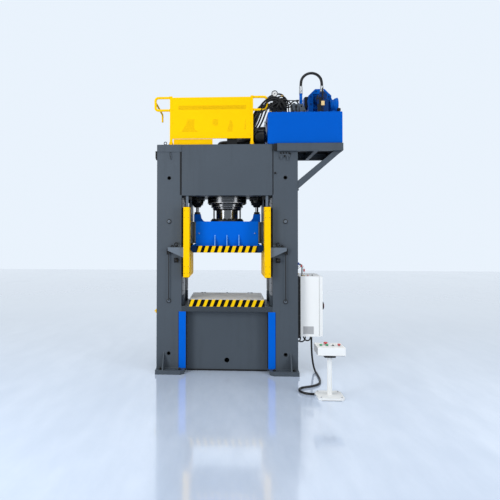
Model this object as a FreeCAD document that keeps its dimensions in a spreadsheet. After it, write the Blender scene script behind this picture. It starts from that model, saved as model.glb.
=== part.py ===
"""Straight-side hydraulic press, in millimetres.

X runs to the right along the front, Y runs back into the press and Z runs up.
The origin is on the floor, in the middle of the bed's footprint.  Every size
stands once in the sheet "sizes"; a Size carries its number together with the
expression that binds a feature to the sheet.
"""
import FreeCAD
import Part
import Sketcher
import math
import os

DIMENSIONS = {
    # welded frame
    "frame_width": 2800,
    "frame_height": 4530,
    "upright_width": 495,
    "upright_depth": 1240,
    "upright_wall": 30,
    "cap_band_height": 145,
    "cap_band_proud": 10,
    "foot_thickness": 80,
    "foot_reach": 200,
    "foot_overhang": 70,
    "foot_chamfer": 75,
    "foot_gusset_rise": 320,
    "foot_gusset_thickness": 20,
    "foot_gusset_inset": 350,
    "foot_slot_radius": 22,
    "foot_hole_edge": 90,
    "access_hole_radius": 30,
    "access_hole_inset": 250,
    "access_high": 3860,
    "access_low": 370,
    "plug_height": 2990,
    "cable_port_height": 1410,
    "port_ring_radius": 52,
    "port_ring_proud": 8,
    # crown
    "crown_height": 1020,
    "crown_plate_proud": 12,
    "crown_plate_gap": 8,
    "crown_wall": 60,
    "crown_window_width": 360,
    "crown_window_height": 560,
    # bed and bolster
    "bed_depth": 920,
    "bed_height": 1300,
    "ledge_thickness": 100,
    "bed_wall": 50,
    "bed_bays_across": 3,
    "bed_bays_deep": 2,
    "bed_hole_radius": 50,
    "bed_hole_height": 210,
    "bolster_width": 1500,
    "bolster_depth": 1240,
    "bolster_thickness": 140,
    "slot_count": 3,
    "slot_pitch": 500,
    "slot_neck": 28,
    "slot_neck_depth": 32,
    "slot_head": 50,
    "slot_head_depth": 22,
    "cover_sheet": 8,
    "cover_width": 140,
    "cover_overlap": 50,
    # slider
    "slider_hang": 1140,
    "slider_plate_width": 1450,
    "slider_plate_depth": 1200,
    "slider_plate_thickness": 134,
    "slider_plate_chamfer": 45,
    "slider_width": 1260,
    "slider_depth": 1000,
    "slider_height": 490,
    "slider_corner": 14,
    "slider_wall": 45,
    "slider_rib_pitch": 240,
    "slider_rib_thickness": 16,
    "slider_rib_height": 220,
    "slider_side_rib": 85,
    "lug_height": 160,
    "lug_thickness": 120,
    "lug_width": 140,
    # guides
    "rail_thickness": 45,
    "rail_width": 120,
    "rail_rise": 75,
    "shoe_height": 430,
    "shoe_drop": 10,
    "shoe_plate": 30,
    "shoe_web": 36,
    "guide_clearance": 0.4,
    # main cylinder and ram
    "cylinder_radius": 370,
    "cylinder_bore": 240,
    "cylinder_flange_radius": 410,
    "cylinder_flange_height": 140,
    "cylinder_step_radius": 335,
    "cylinder_step_height": 80,
    "gland_radius": 302,
    "gland_height": 42,
    "crown_bore_clearance": 0.5,
    "ram_radius": 230,
    "ram_length": 1250,
    "ram_flange_radius": 345,
    "ram_flange_height": 45,
    "ram_clearance": 0.5,
    "stroke_rod_radius": 16,
    "stroke_rod_place": 275,
    # return cylinders
    "return_place": 625,
    "return_radius": 90,
    "return_collar_radius": 128,
    "return_collar_height": 150,
    "return_nose_height": 60,
    "return_bore": 70,
    "return_rod_radius": 32,
    "return_rod_length": 1190,
    "return_piston_height": 100,
    # light curtains
    "curtain_width": 118,
    "curtain_inset": 110,
    "curtain_standoff": 40,
    "curtain_rear_shift": 30,
    "curtain_flange": 500,
    "curtain_drop": 240,
    "curtain_height": 1380,
    "curtain_slot": 40,
    "curtain_slot_depth": 12,
    "bracket_rise": 586,
    "bracket_reach": 316,
    "bracket_drop": 206,
    "bracket_tip": 66,
    "bracket_sheet": 12,
    "hanger_width": 50,
    "hanger_sheet": 10,
    "cable_radius": 8,
    # guard on the crown
    "guard_inset": 270,
    "guard_right": 500,
    "guard_height": 970,
    "guard_middle_height": 715,
    "guard_front": 515,
    "guard_post": 50,
    "guard_tube_radius": 24,
    "guard_side_radius": 20,
    "guard_tube_bend": 60,
    "guard_side_reach": 320,
    "guard_side_depth": 1085,
    "guard_side_drop": 90,
    "guard_right_reach": 300,
    "guard_foot": 100,
    "guard_foot_plate": 12,
    "guard_panel_sheet": 4,
    "guard_panel_gap": 135,
    "toe_board_length": 790,
    "toe_board_height": 130,
    "side_sheet": 10,
    "side_sheet_front": 365,
    "side_sheet_rear": 300,
    "side_sheet_strap": 60,
    "sheet_clearance": 0.3,
    # platform and tank
    "channel_height": 150,
    "channel_width": 80,
    "channel_sheet": 10,
    "platform_left": 990,
    "platform_right": 2275,
    "platform_middle": 1720,
    "brace_depth": 120,
    "brace_width": 60,
    "brace_reach": 900,
    "tank_left": 815,
    "tank_right": 2270,
    "tank_depth": 1280,
    "tank_height": 603,
    "tank_wall": 8,
    "tank_skid": 15,
    "tank_lid_sheet": 12,
    "side_cover_radius": 225,
    "side_cover_sheet": 28,
    "side_cover_rise": 340,
    "side_cover_place": 150,
    "prefill_radius": 200,
    "prefill_height": 150,
    "prefill_pipe_radius": 100,
    "prefill_pipe_bend": 108,
    # power unit
    "motor_place": 1910,
    "motor_front": 150,
    "motor_radius": 235,
    "motor_length": 620,
    "motor_rise": 340,
    "motor_foot_width": 460,
    "motor_cowl_length": 150,
    "motor_shield_depth": 42,
    "motor_shoulder": 97,
    "motor_shaft_radius": 30,
    "shaft_clearance": 0.5,
    "terminal_box_width": 95,
    "terminal_box_height": 230,
    "terminal_box_length": 260,
    "terminal_box_sink": 40,
    "bell_radius": 125,
    "bell_length": 170,
    "bell_wall": 14,
    "bell_window": 80,
    "pump_radius": 80,
    "pump_length": 210,
    "pump_port_rise": 30,
    "hose_left": 1490,
    "hose_radius": 27,
    "fitting_radius": 31,
    "fitting_length": 150,
    "hose_rise": 226,
    "riser_radius": 30,
    "riser_block_width": 300,
    "riser_block_depth": 180,
    "riser_block_height": 190,
    "side_motor_radius": 150,
    "side_motor_length": 160,
    "side_motor_place": 350,
    "side_motor_rise": 38,
    # valve manifold
    "manifold_left": 865,
    "manifold_width": 340,
    "manifold_depth": 260,
    "manifold_height": 230,
    "manifold_front": 500,
    "valve_radius": 32,
    "valve_length": 190,
    "gauge_radius": 62,
    "gauge_depth": 45,
    "gauge_rise": 185,
    "gauge_place": 960,
    "crown_hose_radius": 16,
    "crown_hose_first": -466,
    "crown_hose_spread": 32.5,
    # cabinet
    "cabinet_gap": 40,
    "cabinet_depth": 430,
    "cabinet_front": 460,
    "cabinet_width": 800,
    "cabinet_bottom": 700,
    "cabinet_height": 1200,
    "cabinet_sheet": 4,
    "cabinet_rail": 40,
    "door_depth": 36,
    "door_inset": 6,
    "hinge_radius": 8,
    "gland_offset": 60,
    "gland_setback": 250,
    "gland_length": 45,
    "handle_radius": 42,
    "handle_shaft_radius": 7,
    "handle_place": 120,
    "handle_height": 1300,
    "gear_sheet": 3,
    "gear_depth": 107,
    "standoff_radius": 6,
    "arch_inset": 75,
    "arch_setback": 110,
    "arch_rise": 235,
    "arch_bend": 60,
    "arch_radius": 13,
    # control stand
    "stand_x": 1740,
    "stand_y": -2010,
    "stand_base": 430,
    "stand_base_height": 40,
    "stand_base_chamfer": 50,
    "column_radius": 42,
    "column_height": 690,
    "desk_width": 455,
    "desk_depth": 400,
    "desk_height": 135,
    "desk_sheet": 3,
    "desk_hole_radius": 15,
    "button_pitch": 100,
    "button_radius": 14,
    "button_rise": 14,
    "conduit_radius": 19,
    "gland_nut_radius": 32,
    "stand_gland_length": 15,
    "stand_gland_y": 75,
}

DOC = FreeCAD.newDocument("hydraulic_press")
SHEET = DOC.addObject("Spreadsheet::Sheet", "sizes")
NODES = []


class Size:
    """A length in millimetres and the sheet expression that yields it."""

    def __init__(self, number, text):
        self.number = float(number)
        self.text = text

    def __add__(self, other):
        return combine(self, "+", other)

    def __radd__(self, other):
        return combine(other, "+", self)

    def __sub__(self, other):
        return combine(self, "-", other)

    def __rsub__(self, other):
        return combine(other, "-", self)

    def __mul__(self, other):
        return combine(self, "*", other)

    def __rmul__(self, other):
        return combine(other, "*", self)

    def __truediv__(self, other):
        return combine(self, "/", other)

    def __neg__(self):
        return combine(0, "-", self)


def size_of(value):
    """Wrap a plain number, so that sizes and numbers mix."""
    if isinstance(value, Size):
        return value
    return Size(value, "(%g)" % value)


def combine(first, sign, second):
    """Join two sizes by + - * or /, in number and in expression."""
    first = size_of(first)
    second = size_of(second)
    text = "(%s %s %s)" % (first.text, sign, second.text)
    if sign == "+":
        return Size(first.number + second.number, text)
    if sign == "-":
        return Size(first.number - second.number, text)
    if sign == "*":
        return Size(first.number * second.number, text)
    return Size(first.number / second.number, text)


class Sizes:
    """The sheet's aliases as attributes, each one a Size."""

    def __init__(self, dimensions):
        for row, (alias, number) in enumerate(dimensions.items(), start=1):
            SHEET.set("A%d" % row, alias)
            SHEET.set("B%d" % row, str(number))
            SHEET.setAlias("B%d" % row, alias)
            setattr(self, alias, Size(number, "sizes." + alias))
        DOC.recompute()


d = Sizes(DIMENSIONS)


# ---------------------------------------------------------------- helpers

def bind(item, name, size):
    """Tie one property or placement value of an object to the sheet."""
    item.setExpression(name, size_of(size).text)


def place(item, x=0, y=0, z=0, rotation=None):
    """Give a sub-part its placement, bound to the sheet."""
    spot = FreeCAD.Vector(size_of(x).number, size_of(y).number, size_of(z).number)
    item.Placement = FreeCAD.Placement(spot, rotation or FreeCAD.Rotation())
    for axis, size in (("x", x), ("y", y), ("z", z)):
        bind(item, "Placement.Base." + axis, size)
    return item


def node(item, label):
    """Name a finished sub-part; its label is its file's name."""
    item.Label = label
    NODES.append(item)
    return item


def new_body(name):
    """An empty part-design body."""
    return DOC.addObject("PartDesign::Body", name)


def draw_polygon(sketch, points):
    """Add a closed outline whose corners are bound to the sheet."""
    first = sketch.GeometryCount
    corners = [(size_of(x), size_of(y)) for x, y in points]
    count = len(corners)
    for index, (x, y) in enumerate(corners):
        next_x, next_y = corners[(index + 1) % count]
        start = FreeCAD.Vector(x.number, y.number, 0)
        end = FreeCAD.Vector(next_x.number, next_y.number, 0)
        sketch.addGeometry(Part.LineSegment(start, end), False)
    for index in range(count):
        following = first + (index + 1) % count
        sketch.addConstraint(Sketcher.Constraint("Coincident", first + index, 2, following, 1))
    for index, (x, y) in enumerate(corners):
        for kind, size in (("DistanceX", x), ("DistanceY", y)):
            rule = Sketcher.Constraint(kind, -1, 1, first + index, 1, size.number)
            number = sketch.addConstraint(rule)
            bind(sketch, "Constraints[%d]" % number, size)


def draw_circle(sketch, x, y, radius):
    """Add a circle whose centre and radius are bound to the sheet."""
    x, y, radius = size_of(x), size_of(y), size_of(radius)
    centre = FreeCAD.Vector(x.number, y.number, 0)
    circle = Part.Circle(centre, FreeCAD.Vector(0, 0, 1), radius.number)
    index = sketch.addGeometry(circle, False)
    for kind, size in (("DistanceX", x), ("DistanceY", y)):
        number = sketch.addConstraint(Sketcher.Constraint(kind, -1, 1, index, 3, size.number))
        bind(sketch, "Constraints[%d]" % number, size)
    number = sketch.addConstraint(Sketcher.Constraint("Radius", index, radius.number))
    bind(sketch, "Constraints[%d]" % number, radius)


def rectangle(x_low, x_high, y_low, y_high):
    """Corner points of an upright rectangle."""
    return [(x_low, y_low), (x_high, y_low), (x_high, y_high), (x_low, y_high)]


def new_sketch(body, plane, level=0):
    """A sketch on one of the body's own origin planes, moved along its normal."""
    sketch = body.newObject("Sketcher::SketchObject", body.Name + "_sketch")
    base = [item for item in body.Origin.OriginFeatures if item.Role == plane + "_Plane"][0]
    sketch.AttachmentSupport = [(base, "")]
    sketch.MapMode = "FlatFace"
    bind(sketch, "AttachmentOffset.Base.z", level)
    return sketch


def shape_between(body, plane, low, high, polygons=(), circles=(), cut=False):
    """Pad or pocket an outline from one level to another along the plane's axis.

    The XZ plane's normal points along -Y, so there the sketch starts at the
    high level; on the other two planes it starts at the low one.
    """
    start = -size_of(high) if plane == "XZ" else low
    sketch = new_sketch(body, plane, start)
    for points in polygons:
        draw_polygon(sketch, points)
    for x, y, radius in circles:
        draw_circle(sketch, x, y, radius)
    kind = "Pocket" if cut else "Pad"
    feature = body.newObject("PartDesign::" + kind, body.Name + "_" + kind.lower())
    feature.Profile = sketch
    feature.Reversed = cut
    bind(feature, "Length", size_of(high) - low)
    sketch.Visibility = False
    return feature


def turn(body, profile):
    """Revolve a closed (radius, height) profile about the body's Z axis."""
    sketch = new_sketch(body, "XZ")
    draw_polygon(sketch, profile)
    feature = body.newObject("PartDesign::Revolution", body.Name + "_turned")
    feature.Profile = sketch
    feature.ReferenceAxis = (sketch, ["V_Axis"])
    feature.Angle = 360.0
    return feature


def dress(body, kind, amount, chosen):
    """Fillet or chamfer the edges of the body that the test picks out."""
    DOC.recompute()
    base = body.Tip
    names = ["Edge%d" % (number + 1) for number, edge in enumerate(base.Shape.Edges) if chosen(edge)]
    feature = body.newObject("PartDesign::" + kind, body.Name + "_" + kind.lower())
    feature.Base = (base, names)
    bind(feature, "Radius" if kind == "Fillet" else "Size", amount)
    return feature


def runs_along(edge, axis):
    """True for a straight edge parallel to the named axis."""
    if not isinstance(edge.Curve, Part.Line):
        return False
    return abs(getattr(edge.Curve.Direction, axis)) > 0.999


def middle_of(edge):
    """The point half way along a straight edge."""
    return edge.CenterOfMass


def box(name, x_low, x_high, y_low, y_high, z_low, z_high):
    """A rectangular block between six bound levels."""
    item = DOC.addObject("Part::Box", name)
    bind(item, "Length", size_of(x_high) - x_low)
    bind(item, "Width", size_of(y_high) - y_low)
    bind(item, "Height", size_of(z_high) - z_low)
    return place(item, x_low, y_low, z_low)


TURNS = {
    "+Z": FreeCAD.Rotation(),
    "-Z": FreeCAD.Rotation(FreeCAD.Vector(1, 0, 0), 180),
    "+X": FreeCAD.Rotation(FreeCAD.Vector(0, 1, 0), 90),
    "-X": FreeCAD.Rotation(FreeCAD.Vector(0, 1, 0), -90),
    "+Y": FreeCAD.Rotation(FreeCAD.Vector(1, 0, 0), -90),
    "-Y": FreeCAD.Rotation(FreeCAD.Vector(1, 0, 0), 90),
}


def cylinder(name, x, y, z, radius, length, towards="+Z"):
    """A round bar that starts at a point and runs along an axis."""
    item = DOC.addObject("Part::Cylinder", name)
    bind(item, "Radius", radius)
    bind(item, "Height", length)
    return place(item, x, y, z, TURNS[towards])


def fused(name, members):
    """One solid made of several touching or crossing ones."""
    item = DOC.addObject("Part::MultiFuse", name)
    item.Shapes = members
    item.Refine = True
    return item


def minus(name, base, tool):
    """A solid with another one cut out of it."""
    item = DOC.addObject("Part::Cut", name)
    item.Base = base
    item.Tool = tool
    return item


def group(name, members):
    """Identical pieces kept as separate solids of one sub-part."""
    item = DOC.addObject("Part::Compound", name)
    item.Links = members
    return item


def tube_path(points, bends):
    """Straight runs joined by tangent arcs, one radius for each inner point."""
    edges = []
    last = points[0]
    for index in range(1, len(points) - 1):
        corner = points[index]
        before = (points[index - 1] - corner).normalize()
        after = (points[index + 1] - corner).normalize()
        half_turn = (math.pi - before.getAngle(after)) / 2
        reach = bends[index - 1] * math.tan(half_turn)
        start = corner + before * reach
        end = corner + after * reach
        inward = (before + after).normalize()
        centre = corner + inward * (bends[index - 1] / math.cos(half_turn))
        middle = centre - inward * bends[index - 1]
        if (start - last).Length > 0.001:
            edges.append(Part.LineSegment(last, start).toShape())
        edges.append(Part.Arc(start, middle, end).toShape())
        last = end
    edges.append(Part.LineSegment(last, points[-1]).toShape())
    return Part.Wire(edges)


def cord_bends(points):
    """The widest arc that each pair of runs in a cord's route allows."""
    bends = []
    for index in range(1, len(points) - 1):
        before = points[index - 1] - points[index]
        after = points[index + 1] - points[index]
        half_turn = (math.pi - before.getAngle(after)) / 2
        bends.append(0.45 * min(before.Length, after.Length) / math.tan(half_turn))
    return bends


def tube(name, points, radius, bends):
    """A round bar swept along a bent path."""
    path = tube_path(points, bends)
    start = path.Edges[0]
    heading = start.tangentAt(start.FirstParameter)
    ring = Part.Wire([Part.Circle(points[0], heading, radius).toShape()])
    shell = Part.BRepOffsetAPI.MakePipeShell(path)
    shell.add(ring, False, False)
    shell.build()
    shell.makeSolid()
    solid = shell.shape()
    section = math.pi * radius ** 2
    print("%s: length %.0f, volume ratio %.4f" % (name, path.Length, solid.Volume / (section * path.Length)))
    item = DOC.addObject("Part::Feature", name)
    item.Shape = solid
    return item


def hose(name, route, radius):
    """A hose or cable along hand-chosen points; prints its arc radii."""
    points = [FreeCAD.Vector(*point) for point in route]
    bends = cord_bends(points)
    print(name + " arc radii: " + ", ".join("%.0f" % bend for bend in bends))
    return tube(name, points, radius, bends)


def cord(name, route, radius):
    """A sub-part of one hose or cable."""
    return node(hose(name, route, radius), name)


# ---------------------------------------------------------------- shared places

inner_face = d.frame_width / 2 - d.upright_width
curtain_place = inner_face - d.curtain_inset
crown_underside = d.frame_height - d.crown_height
slider_bottom = crown_underside - d.slider_hang
outer_face = d.frame_width / 2
front_face = -d.upright_depth / 2
back_face = d.upright_depth / 2
ledge_underside = d.bed_height - d.ledge_thickness
bolster_top = d.bed_height + d.bolster_thickness
rail_bottom = bolster_top + d.rail_rise
slider_floor = slider_bottom + d.slider_plate_thickness
slider_top = slider_floor + d.slider_height
platform_underside = d.frame_height - d.channel_height
platform_front = front_face - d.channel_width
tank_floor = d.frame_height + d.tank_skid
tank_top = tank_floor + d.tank_height + d.tank_lid_sheet
side_cover_height = d.frame_height + d.side_cover_rise
brace_foot = d.frame_height - d.brace_reach
curtain_top = crown_underside - d.curtain_drop
curtain_bottom = curtain_top - d.curtain_height
bracket_top = curtain_bottom + d.bracket_rise
guard_left = outer_face - d.guard_inset
guard_top = d.frame_height + d.guard_height
guard_middle = d.frame_height + d.guard_middle_height
guard_panel_bottom = d.frame_height + d.guard_panel_gap
motor_axis = tank_top + d.motor_rise
hose_start = motor_axis + d.hose_rise
cabinet_left = outer_face + d.cabinet_gap
cabinet_right = cabinet_left + d.cabinet_depth


# ---------------------------------------------------------------- welded frame

def make_upright(name, side):
    """A box column on its foot plate, with gussets and front access holes."""
    body = new_body(name)
    outer = rectangle(side * inner_face, side * outer_face, front_face, back_face)
    hollow = rectangle(
        side * (inner_face + d.upright_wall), side * (outer_face - d.upright_wall),
        front_face + d.upright_wall, back_face - d.upright_wall)
    cap_floor = d.frame_height - d.upright_wall
    shape_between(body, "XY", d.foot_thickness, cap_floor, [outer, hollow])
    shape_between(body, "XY", cap_floor, d.frame_height, [outer])

    toe = front_face - d.foot_reach
    heel = back_face + d.foot_reach
    inset = inner_face - d.foot_overhang
    foot = [
        (side * outer_face, toe), (side * (inset + d.foot_chamfer), toe),
        (side * inset, toe + d.foot_chamfer), (side * inset, front_face),
        (side * inner_face, front_face), (side * inner_face, back_face),
        (side * inset, back_face), (side * inset, heel - d.foot_chamfer),
        (side * (inset + d.foot_chamfer), heel), (side * outer_face, heel)]
    shape_between(body, "XY", 0, d.foot_thickness, [foot])
    bolt_x = side * (outer_face - d.foot_hole_edge)
    bolt_y = heel - d.foot_hole_edge
    inner_x = side * (inner_face + d.foot_hole_edge)
    holes = [(x, y, d.foot_slot_radius) for x in (bolt_x, inner_x) for y in (bolt_y, -bolt_y)]
    shape_between(body, "XY", 0, d.foot_thickness, circles=holes, cut=True)

    rib = side * (inner_face + d.foot_gusset_inset)
    rib_top = d.foot_thickness + d.foot_gusset_rise
    for wall, tip in ((front_face, toe), (back_face, heel)):
        web = [(wall, d.foot_thickness), (wall, rib_top), (tip, d.foot_thickness)]
        shape_between(body, "YZ", rib - d.foot_gusset_thickness / 2, rib + d.foot_gusset_thickness / 2, [web])

    hole_x = side * (inner_face + d.access_hole_inset)
    levels = (d.access_high, d.access_low)
    ports = (d.plug_height, d.cable_port_height)
    rings = [(hole_x, level, d.port_ring_radius) for level in ports]
    shape_between(body, "XZ", front_face - d.port_ring_proud, front_face, circles=rings)
    openings = [(hole_x, level, d.access_hole_radius) for level in levels + ports]
    shape_between(
        body, "XZ", front_face - d.port_ring_proud, front_face + d.upright_wall, circles=openings, cut=True)
    return body


left_upright = make_upright("left_upright", -1)
cap_band = rectangle(-outer_face, -inner_face, d.frame_height - d.cap_band_height, d.frame_height)
shape_between(left_upright, "XZ", front_face - d.cap_band_proud, front_face, [cap_band])
node(left_upright, "left_upright")
node(make_upright("right_upright", 1), "right_upright")


def make_crown():
    """The upper box beam with its proud face plates and the cylinder's bore."""
    body = new_body("crown")
    beam = rectangle(-inner_face, inner_face, front_face, back_face)
    shape_between(body, "XY", crown_underside, d.frame_height, [beam])
    edge = inner_face - d.crown_plate_gap
    plate = rectangle(-edge, edge, crown_underside, d.frame_height - d.crown_plate_gap)
    shape_between(body, "XZ", front_face - d.crown_plate_proud, front_face, [plate])
    shape_between(body, "XZ", back_face, back_face + d.crown_plate_proud, [plate])
    bore = [(0, 0, d.cylinder_radius + d.crown_bore_clearance)]
    for side in (-1, 1):
        bore.append((side * d.return_place, 0, d.return_radius + d.crown_bore_clearance))
    shape_between(body, "XY", crown_underside, d.frame_height, circles=bore, cut=True)
    sill = (crown_underside + d.frame_height - d.crown_window_height) / 2
    windows = []
    for side in (-1, 1):
        near = side * (d.return_place - d.crown_window_width / 2)
        far = side * (d.return_place + d.crown_window_width / 2)
        windows.append(rectangle(near, far, sill, sill + d.crown_window_height))
    shape_between(
        body, "XZ", front_face + d.crown_wall, back_face + d.crown_plate_proud, windows, cut=True)
    return body


node(make_crown(), "crown")


def make_bed():
    """The lower box with the wide ledge that carries the bolster."""
    body = new_body("bed")
    half = d.bed_depth / 2
    shape_between(body, "XY", 0, ledge_underside, [rectangle(-inner_face, inner_face, -half, half)])
    ledge = rectangle(-inner_face, inner_face, front_face, back_face)
    shape_between(body, "XY", ledge_underside, d.bed_height, [ledge])
    bay_x = (2 * inner_face - d.bed_wall * (d.bed_bays_across + 1)) / d.bed_bays_across
    bay_y = (d.bed_depth - d.bed_wall * (d.bed_bays_deep + 1)) / d.bed_bays_deep
    bays = []
    for across in range(DIMENSIONS["bed_bays_across"]):
        for deep in range(DIMENSIONS["bed_bays_deep"]):
            left = d.bed_wall - inner_face + across * (bay_x + d.bed_wall)
            near = d.bed_wall - half + deep * (bay_y + d.bed_wall)
            bays.append(rectangle(left, left + bay_x, near, near + bay_y))
    shape_between(body, "XY", 0, ledge_underside - d.bed_wall, bays, cut=True)
    hole = [(0, d.bed_hole_height, d.bed_hole_radius)]
    shape_between(body, "XZ", -half, d.bed_wall - half, circles=hole, cut=True)
    dress(body, "Chamfer", d.cover_sheet, lambda edge: runs_along(edge, "x")
          and middle_of(edge).z > ledge_underside.number + 1
          and abs(middle_of(edge).y) > half.number + 1)
    return body


node(make_bed(), "bed")


def make_corner_cover(side):
    """A folded sheet that closes the corner between an upright and the bed."""
    body = new_body("corner_cover")
    fold_x = side * (inner_face + d.cover_overlap - d.cover_width)
    outer_x = side * (inner_face + d.cover_overlap)
    back = -d.bed_depth / 2
    lip = front_face - d.cover_sheet
    inner_x = fold_x + side * d.cover_sheet
    fold = [
        (outer_x, lip), (fold_x, lip), (fold_x, back),
        (inner_x, back), (inner_x, front_face), (outer_x, front_face)]
    lowest = d.foot_thickness + d.cover_sheet / 2
    shape_between(body, "XY", lowest, ledge_underside, [fold])
    return body


node(group("bed_corner_covers", [make_corner_cover(side) for side in (-1, 1)]), "bed_corner_covers")


def cut_slots(body, face, depth_sign, half_depth):
    """T-slots from front to back in a face that looks up (-1) or down (+1)."""
    first = -d.slot_pitch * (d.slot_count - 1) / 2
    neck = d.slot_neck / 2
    head = d.slot_head / 2
    shoulder = face + depth_sign * d.slot_neck_depth
    floor = shoulder + depth_sign * d.slot_head_depth
    outline = [
        (first - neck, face), (first + neck, face), (first + neck, shoulder),
        (first + head, shoulder), (first + head, floor), (first - head, floor),
        (first - head, shoulder), (first - neck, shoulder)]
    pocket = shape_between(body, "XZ", -half_depth, half_depth, [outline], cut=True)
    row = body.newObject("PartDesign::LinearPattern", body.Name + "_slots")
    row.Originals = [pocket]
    axis = [item for item in body.Origin.OriginFeatures if item.Role == "X_Axis"][0]
    row.Direction = (axis, [""])
    bind(row, "Length", d.slot_pitch * (d.slot_count - 1))
    bind(row, "Occurrences", d.slot_count)
    body.Tip = row


def make_bolster():
    """The thick plate on the bed, with T-slots and eased edges."""
    body = new_body("bolster")
    half_x = d.bolster_width / 2
    half_y = d.bolster_depth / 2
    shape_between(body, "XY", d.bed_height, bolster_top, [rectangle(-half_x, half_x, -half_y, half_y)])
    dress(body, "Chamfer", 4, lambda edge: middle_of(edge).z > bolster_top.number - 1)
    cut_slots(body, bolster_top, -1, half_y)
    return body


node(make_bolster(), "bolster")


# ---------------------------------------------------------------- slider and guides

def make_slider():
    """The moving box: shouldered lugs, front ribs and flared side ribs."""
    body = new_body("slider")
    half_x = d.slider_width / 2
    half_y = d.slider_depth / 2
    shape_between(body, "XY", slider_floor, slider_top, [rectangle(-half_x, half_x, -half_y, half_y)])
    dress(body, "Fillet", d.slider_corner, lambda edge: runs_along(edge, "z"))

    lug_top = slider_top + d.lug_height
    lug_half = d.lug_width / 2
    lugs = []
    for side in (-1, 1):
        middle = side * d.return_place
        root = side * half_x
        lugs.append([
            (root, slider_top), (root, slider_top - 2 * lug_half), (middle + side * lug_half, slider_top),
            (middle + side * lug_half, lug_top), (middle - side * lug_half, lug_top),
            (middle - side * 1.2 * lug_half, lug_top - d.lug_height / 2),
            (middle - side * 1.8 * lug_half, slider_top + d.lug_height / 6),
            (middle - side * 2.6 * lug_half, slider_top)])
    for outline in lugs:
        shape_between(body, "XZ", -d.lug_thickness / 2, d.lug_thickness / 2, [outline])

    rib_half = d.slider_rib_thickness / 2
    reach = d.slider_plate_depth / 2 - d.slider_plate_chamfer / 2
    web = [(-half_y, slider_floor), (-half_y, slider_floor + d.slider_rib_height), (-reach, slider_floor)]
    for step in (-1, 0, 1):
        middle = step * d.slider_rib_pitch
        shape_between(body, "YZ", middle - rib_half, middle + rib_half, [web])
    rib_top = slider_top - d.shoe_drop - d.shoe_height - d.sheet_clearance
    for side in (-1, 1):
        tip = side * (half_x + d.slider_side_rib)
        web = [(side * half_x, slider_floor), (tip, slider_floor), (side * half_x, rib_top)]
        for wall in (d.slider_corner - half_y, half_y - d.slider_corner - d.slider_rib_thickness):
            shape_between(body, "XZ", wall, wall + d.slider_rib_thickness, [web])

    wall = d.slider_wall
    windows = [rectangle(side * wall, side * (half_x - wall), slider_floor + wall, slider_top - wall)
               for side in (-1, 1)]
    shape_between(body, "XZ", wall - half_y, half_y, windows, cut=True)
    return body


node(make_slider(), "slider")


def make_slider_plate():
    """The slider's lower plate, with sloped ends and T-slots underneath."""
    body = new_body("slider_plate")
    half_x = d.slider_plate_width / 2
    half_y = d.slider_plate_depth / 2
    slope = d.slider_plate_chamfer
    outline = [
        (-half_x, slider_floor), (half_x, slider_floor), (half_x, slider_bottom + slope),
        (half_x - slope, slider_bottom), (slope - half_x, slider_bottom), (-half_x, slider_bottom + slope)]
    shape_between(body, "XZ", -half_y, half_y, [outline])
    cut_slots(body, slider_bottom, 1, half_y)
    return body


node(make_slider_plate(), "slider_plate")


def make_shoe(side, end):
    """A slide shoe: base plate, two webs and the plate that runs on the rail."""
    body = new_body("guide_shoe")
    root = side * d.slider_width / 2
    tip = side * (inner_face - d.rail_thickness - d.guide_clearance)
    face = tip - side * d.shoe_plate
    base = root + side * d.shoe_plate
    near = end * (d.slider_depth / 2 - d.rail_width)
    far = end * (d.slider_depth / 2 - 2 * d.cover_sheet)
    top = slider_top - d.shoe_drop
    bottom = top - d.shoe_height
    low, high = sorted((near, far), key=lambda size: size.number)
    web = d.shoe_web / 2
    middle = (low + high) / 2
    for first, last in ((root, base), (face, tip)):
        shape_between(body, "XY", bottom, top, [rectangle(first, last, low, high)])
    shape_between(body, "XY", bottom, top, [rectangle(base, face, middle - web, middle + web)])
    return body


shoes = [make_shoe(side, end) for side in (-1, 1) for end in (-1, 1)]
node(group("guide_shoes", shoes), "guide_shoes")


def make_rail(side, end):
    """A flat guide rail on the upright's inner face, with a lead-in chamfer."""
    far = end * d.slider_depth / 2
    near = end * (d.slider_depth / 2 - d.rail_width)
    low, high = sorted((near, far), key=lambda size: size.number)
    body = new_body("guide_rail")
    top = crown_underside - d.rail_thickness
    wall = side * inner_face
    face = side * (inner_face - d.rail_thickness)
    lead = d.rail_thickness / 2
    outline = [
        (wall, rail_bottom), (face + side * lead, rail_bottom),
        (face, rail_bottom + lead), (face, top - lead), (face + side * lead, top), (wall, top)]
    shape_between(body, "XZ", low, high, [outline])
    return body


rails = [make_rail(side, end) for side in (-1, 1) for end in (-1, 1)]
node(group("guide_rails", rails), "guide_rails")


# ---------------------------------------------------------------- cylinders

step_bottom = crown_underside - d.cylinder_flange_height - d.cylinder_step_height
ram_floor = slider_top + d.ram_flange_height


def make_main_cylinder():
    """The press cylinder: flange under the crown, stepped nose, closed top."""
    body = new_body("main_cylinder")
    flange_floor = crown_underside - d.cylinder_flange_height
    ceiling = d.frame_height - (d.cylinder_radius - d.cylinder_bore)
    ease = d.cover_sheet
    turn(body, [
        (d.cylinder_bore, step_bottom), (d.cylinder_step_radius - ease, step_bottom),
        (d.cylinder_step_radius, step_bottom + ease), (d.cylinder_step_radius, flange_floor),
        (d.cylinder_flange_radius - ease, flange_floor), (d.cylinder_flange_radius, flange_floor + ease),
        (d.cylinder_flange_radius, crown_underside), (d.cylinder_radius, crown_underside),
        (d.cylinder_radius, d.frame_height), (0, d.frame_height), (0, ceiling), (d.cylinder_bore, ceiling)])
    rods = [(side * d.stroke_rod_place, 0, d.stroke_rod_radius + d.ram_clearance) for side in (-1, 1)]
    shape_between(body, "XY", step_bottom, ceiling, circles=rods, cut=True)
    return body


node(make_main_cylinder(), "main_cylinder")


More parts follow.
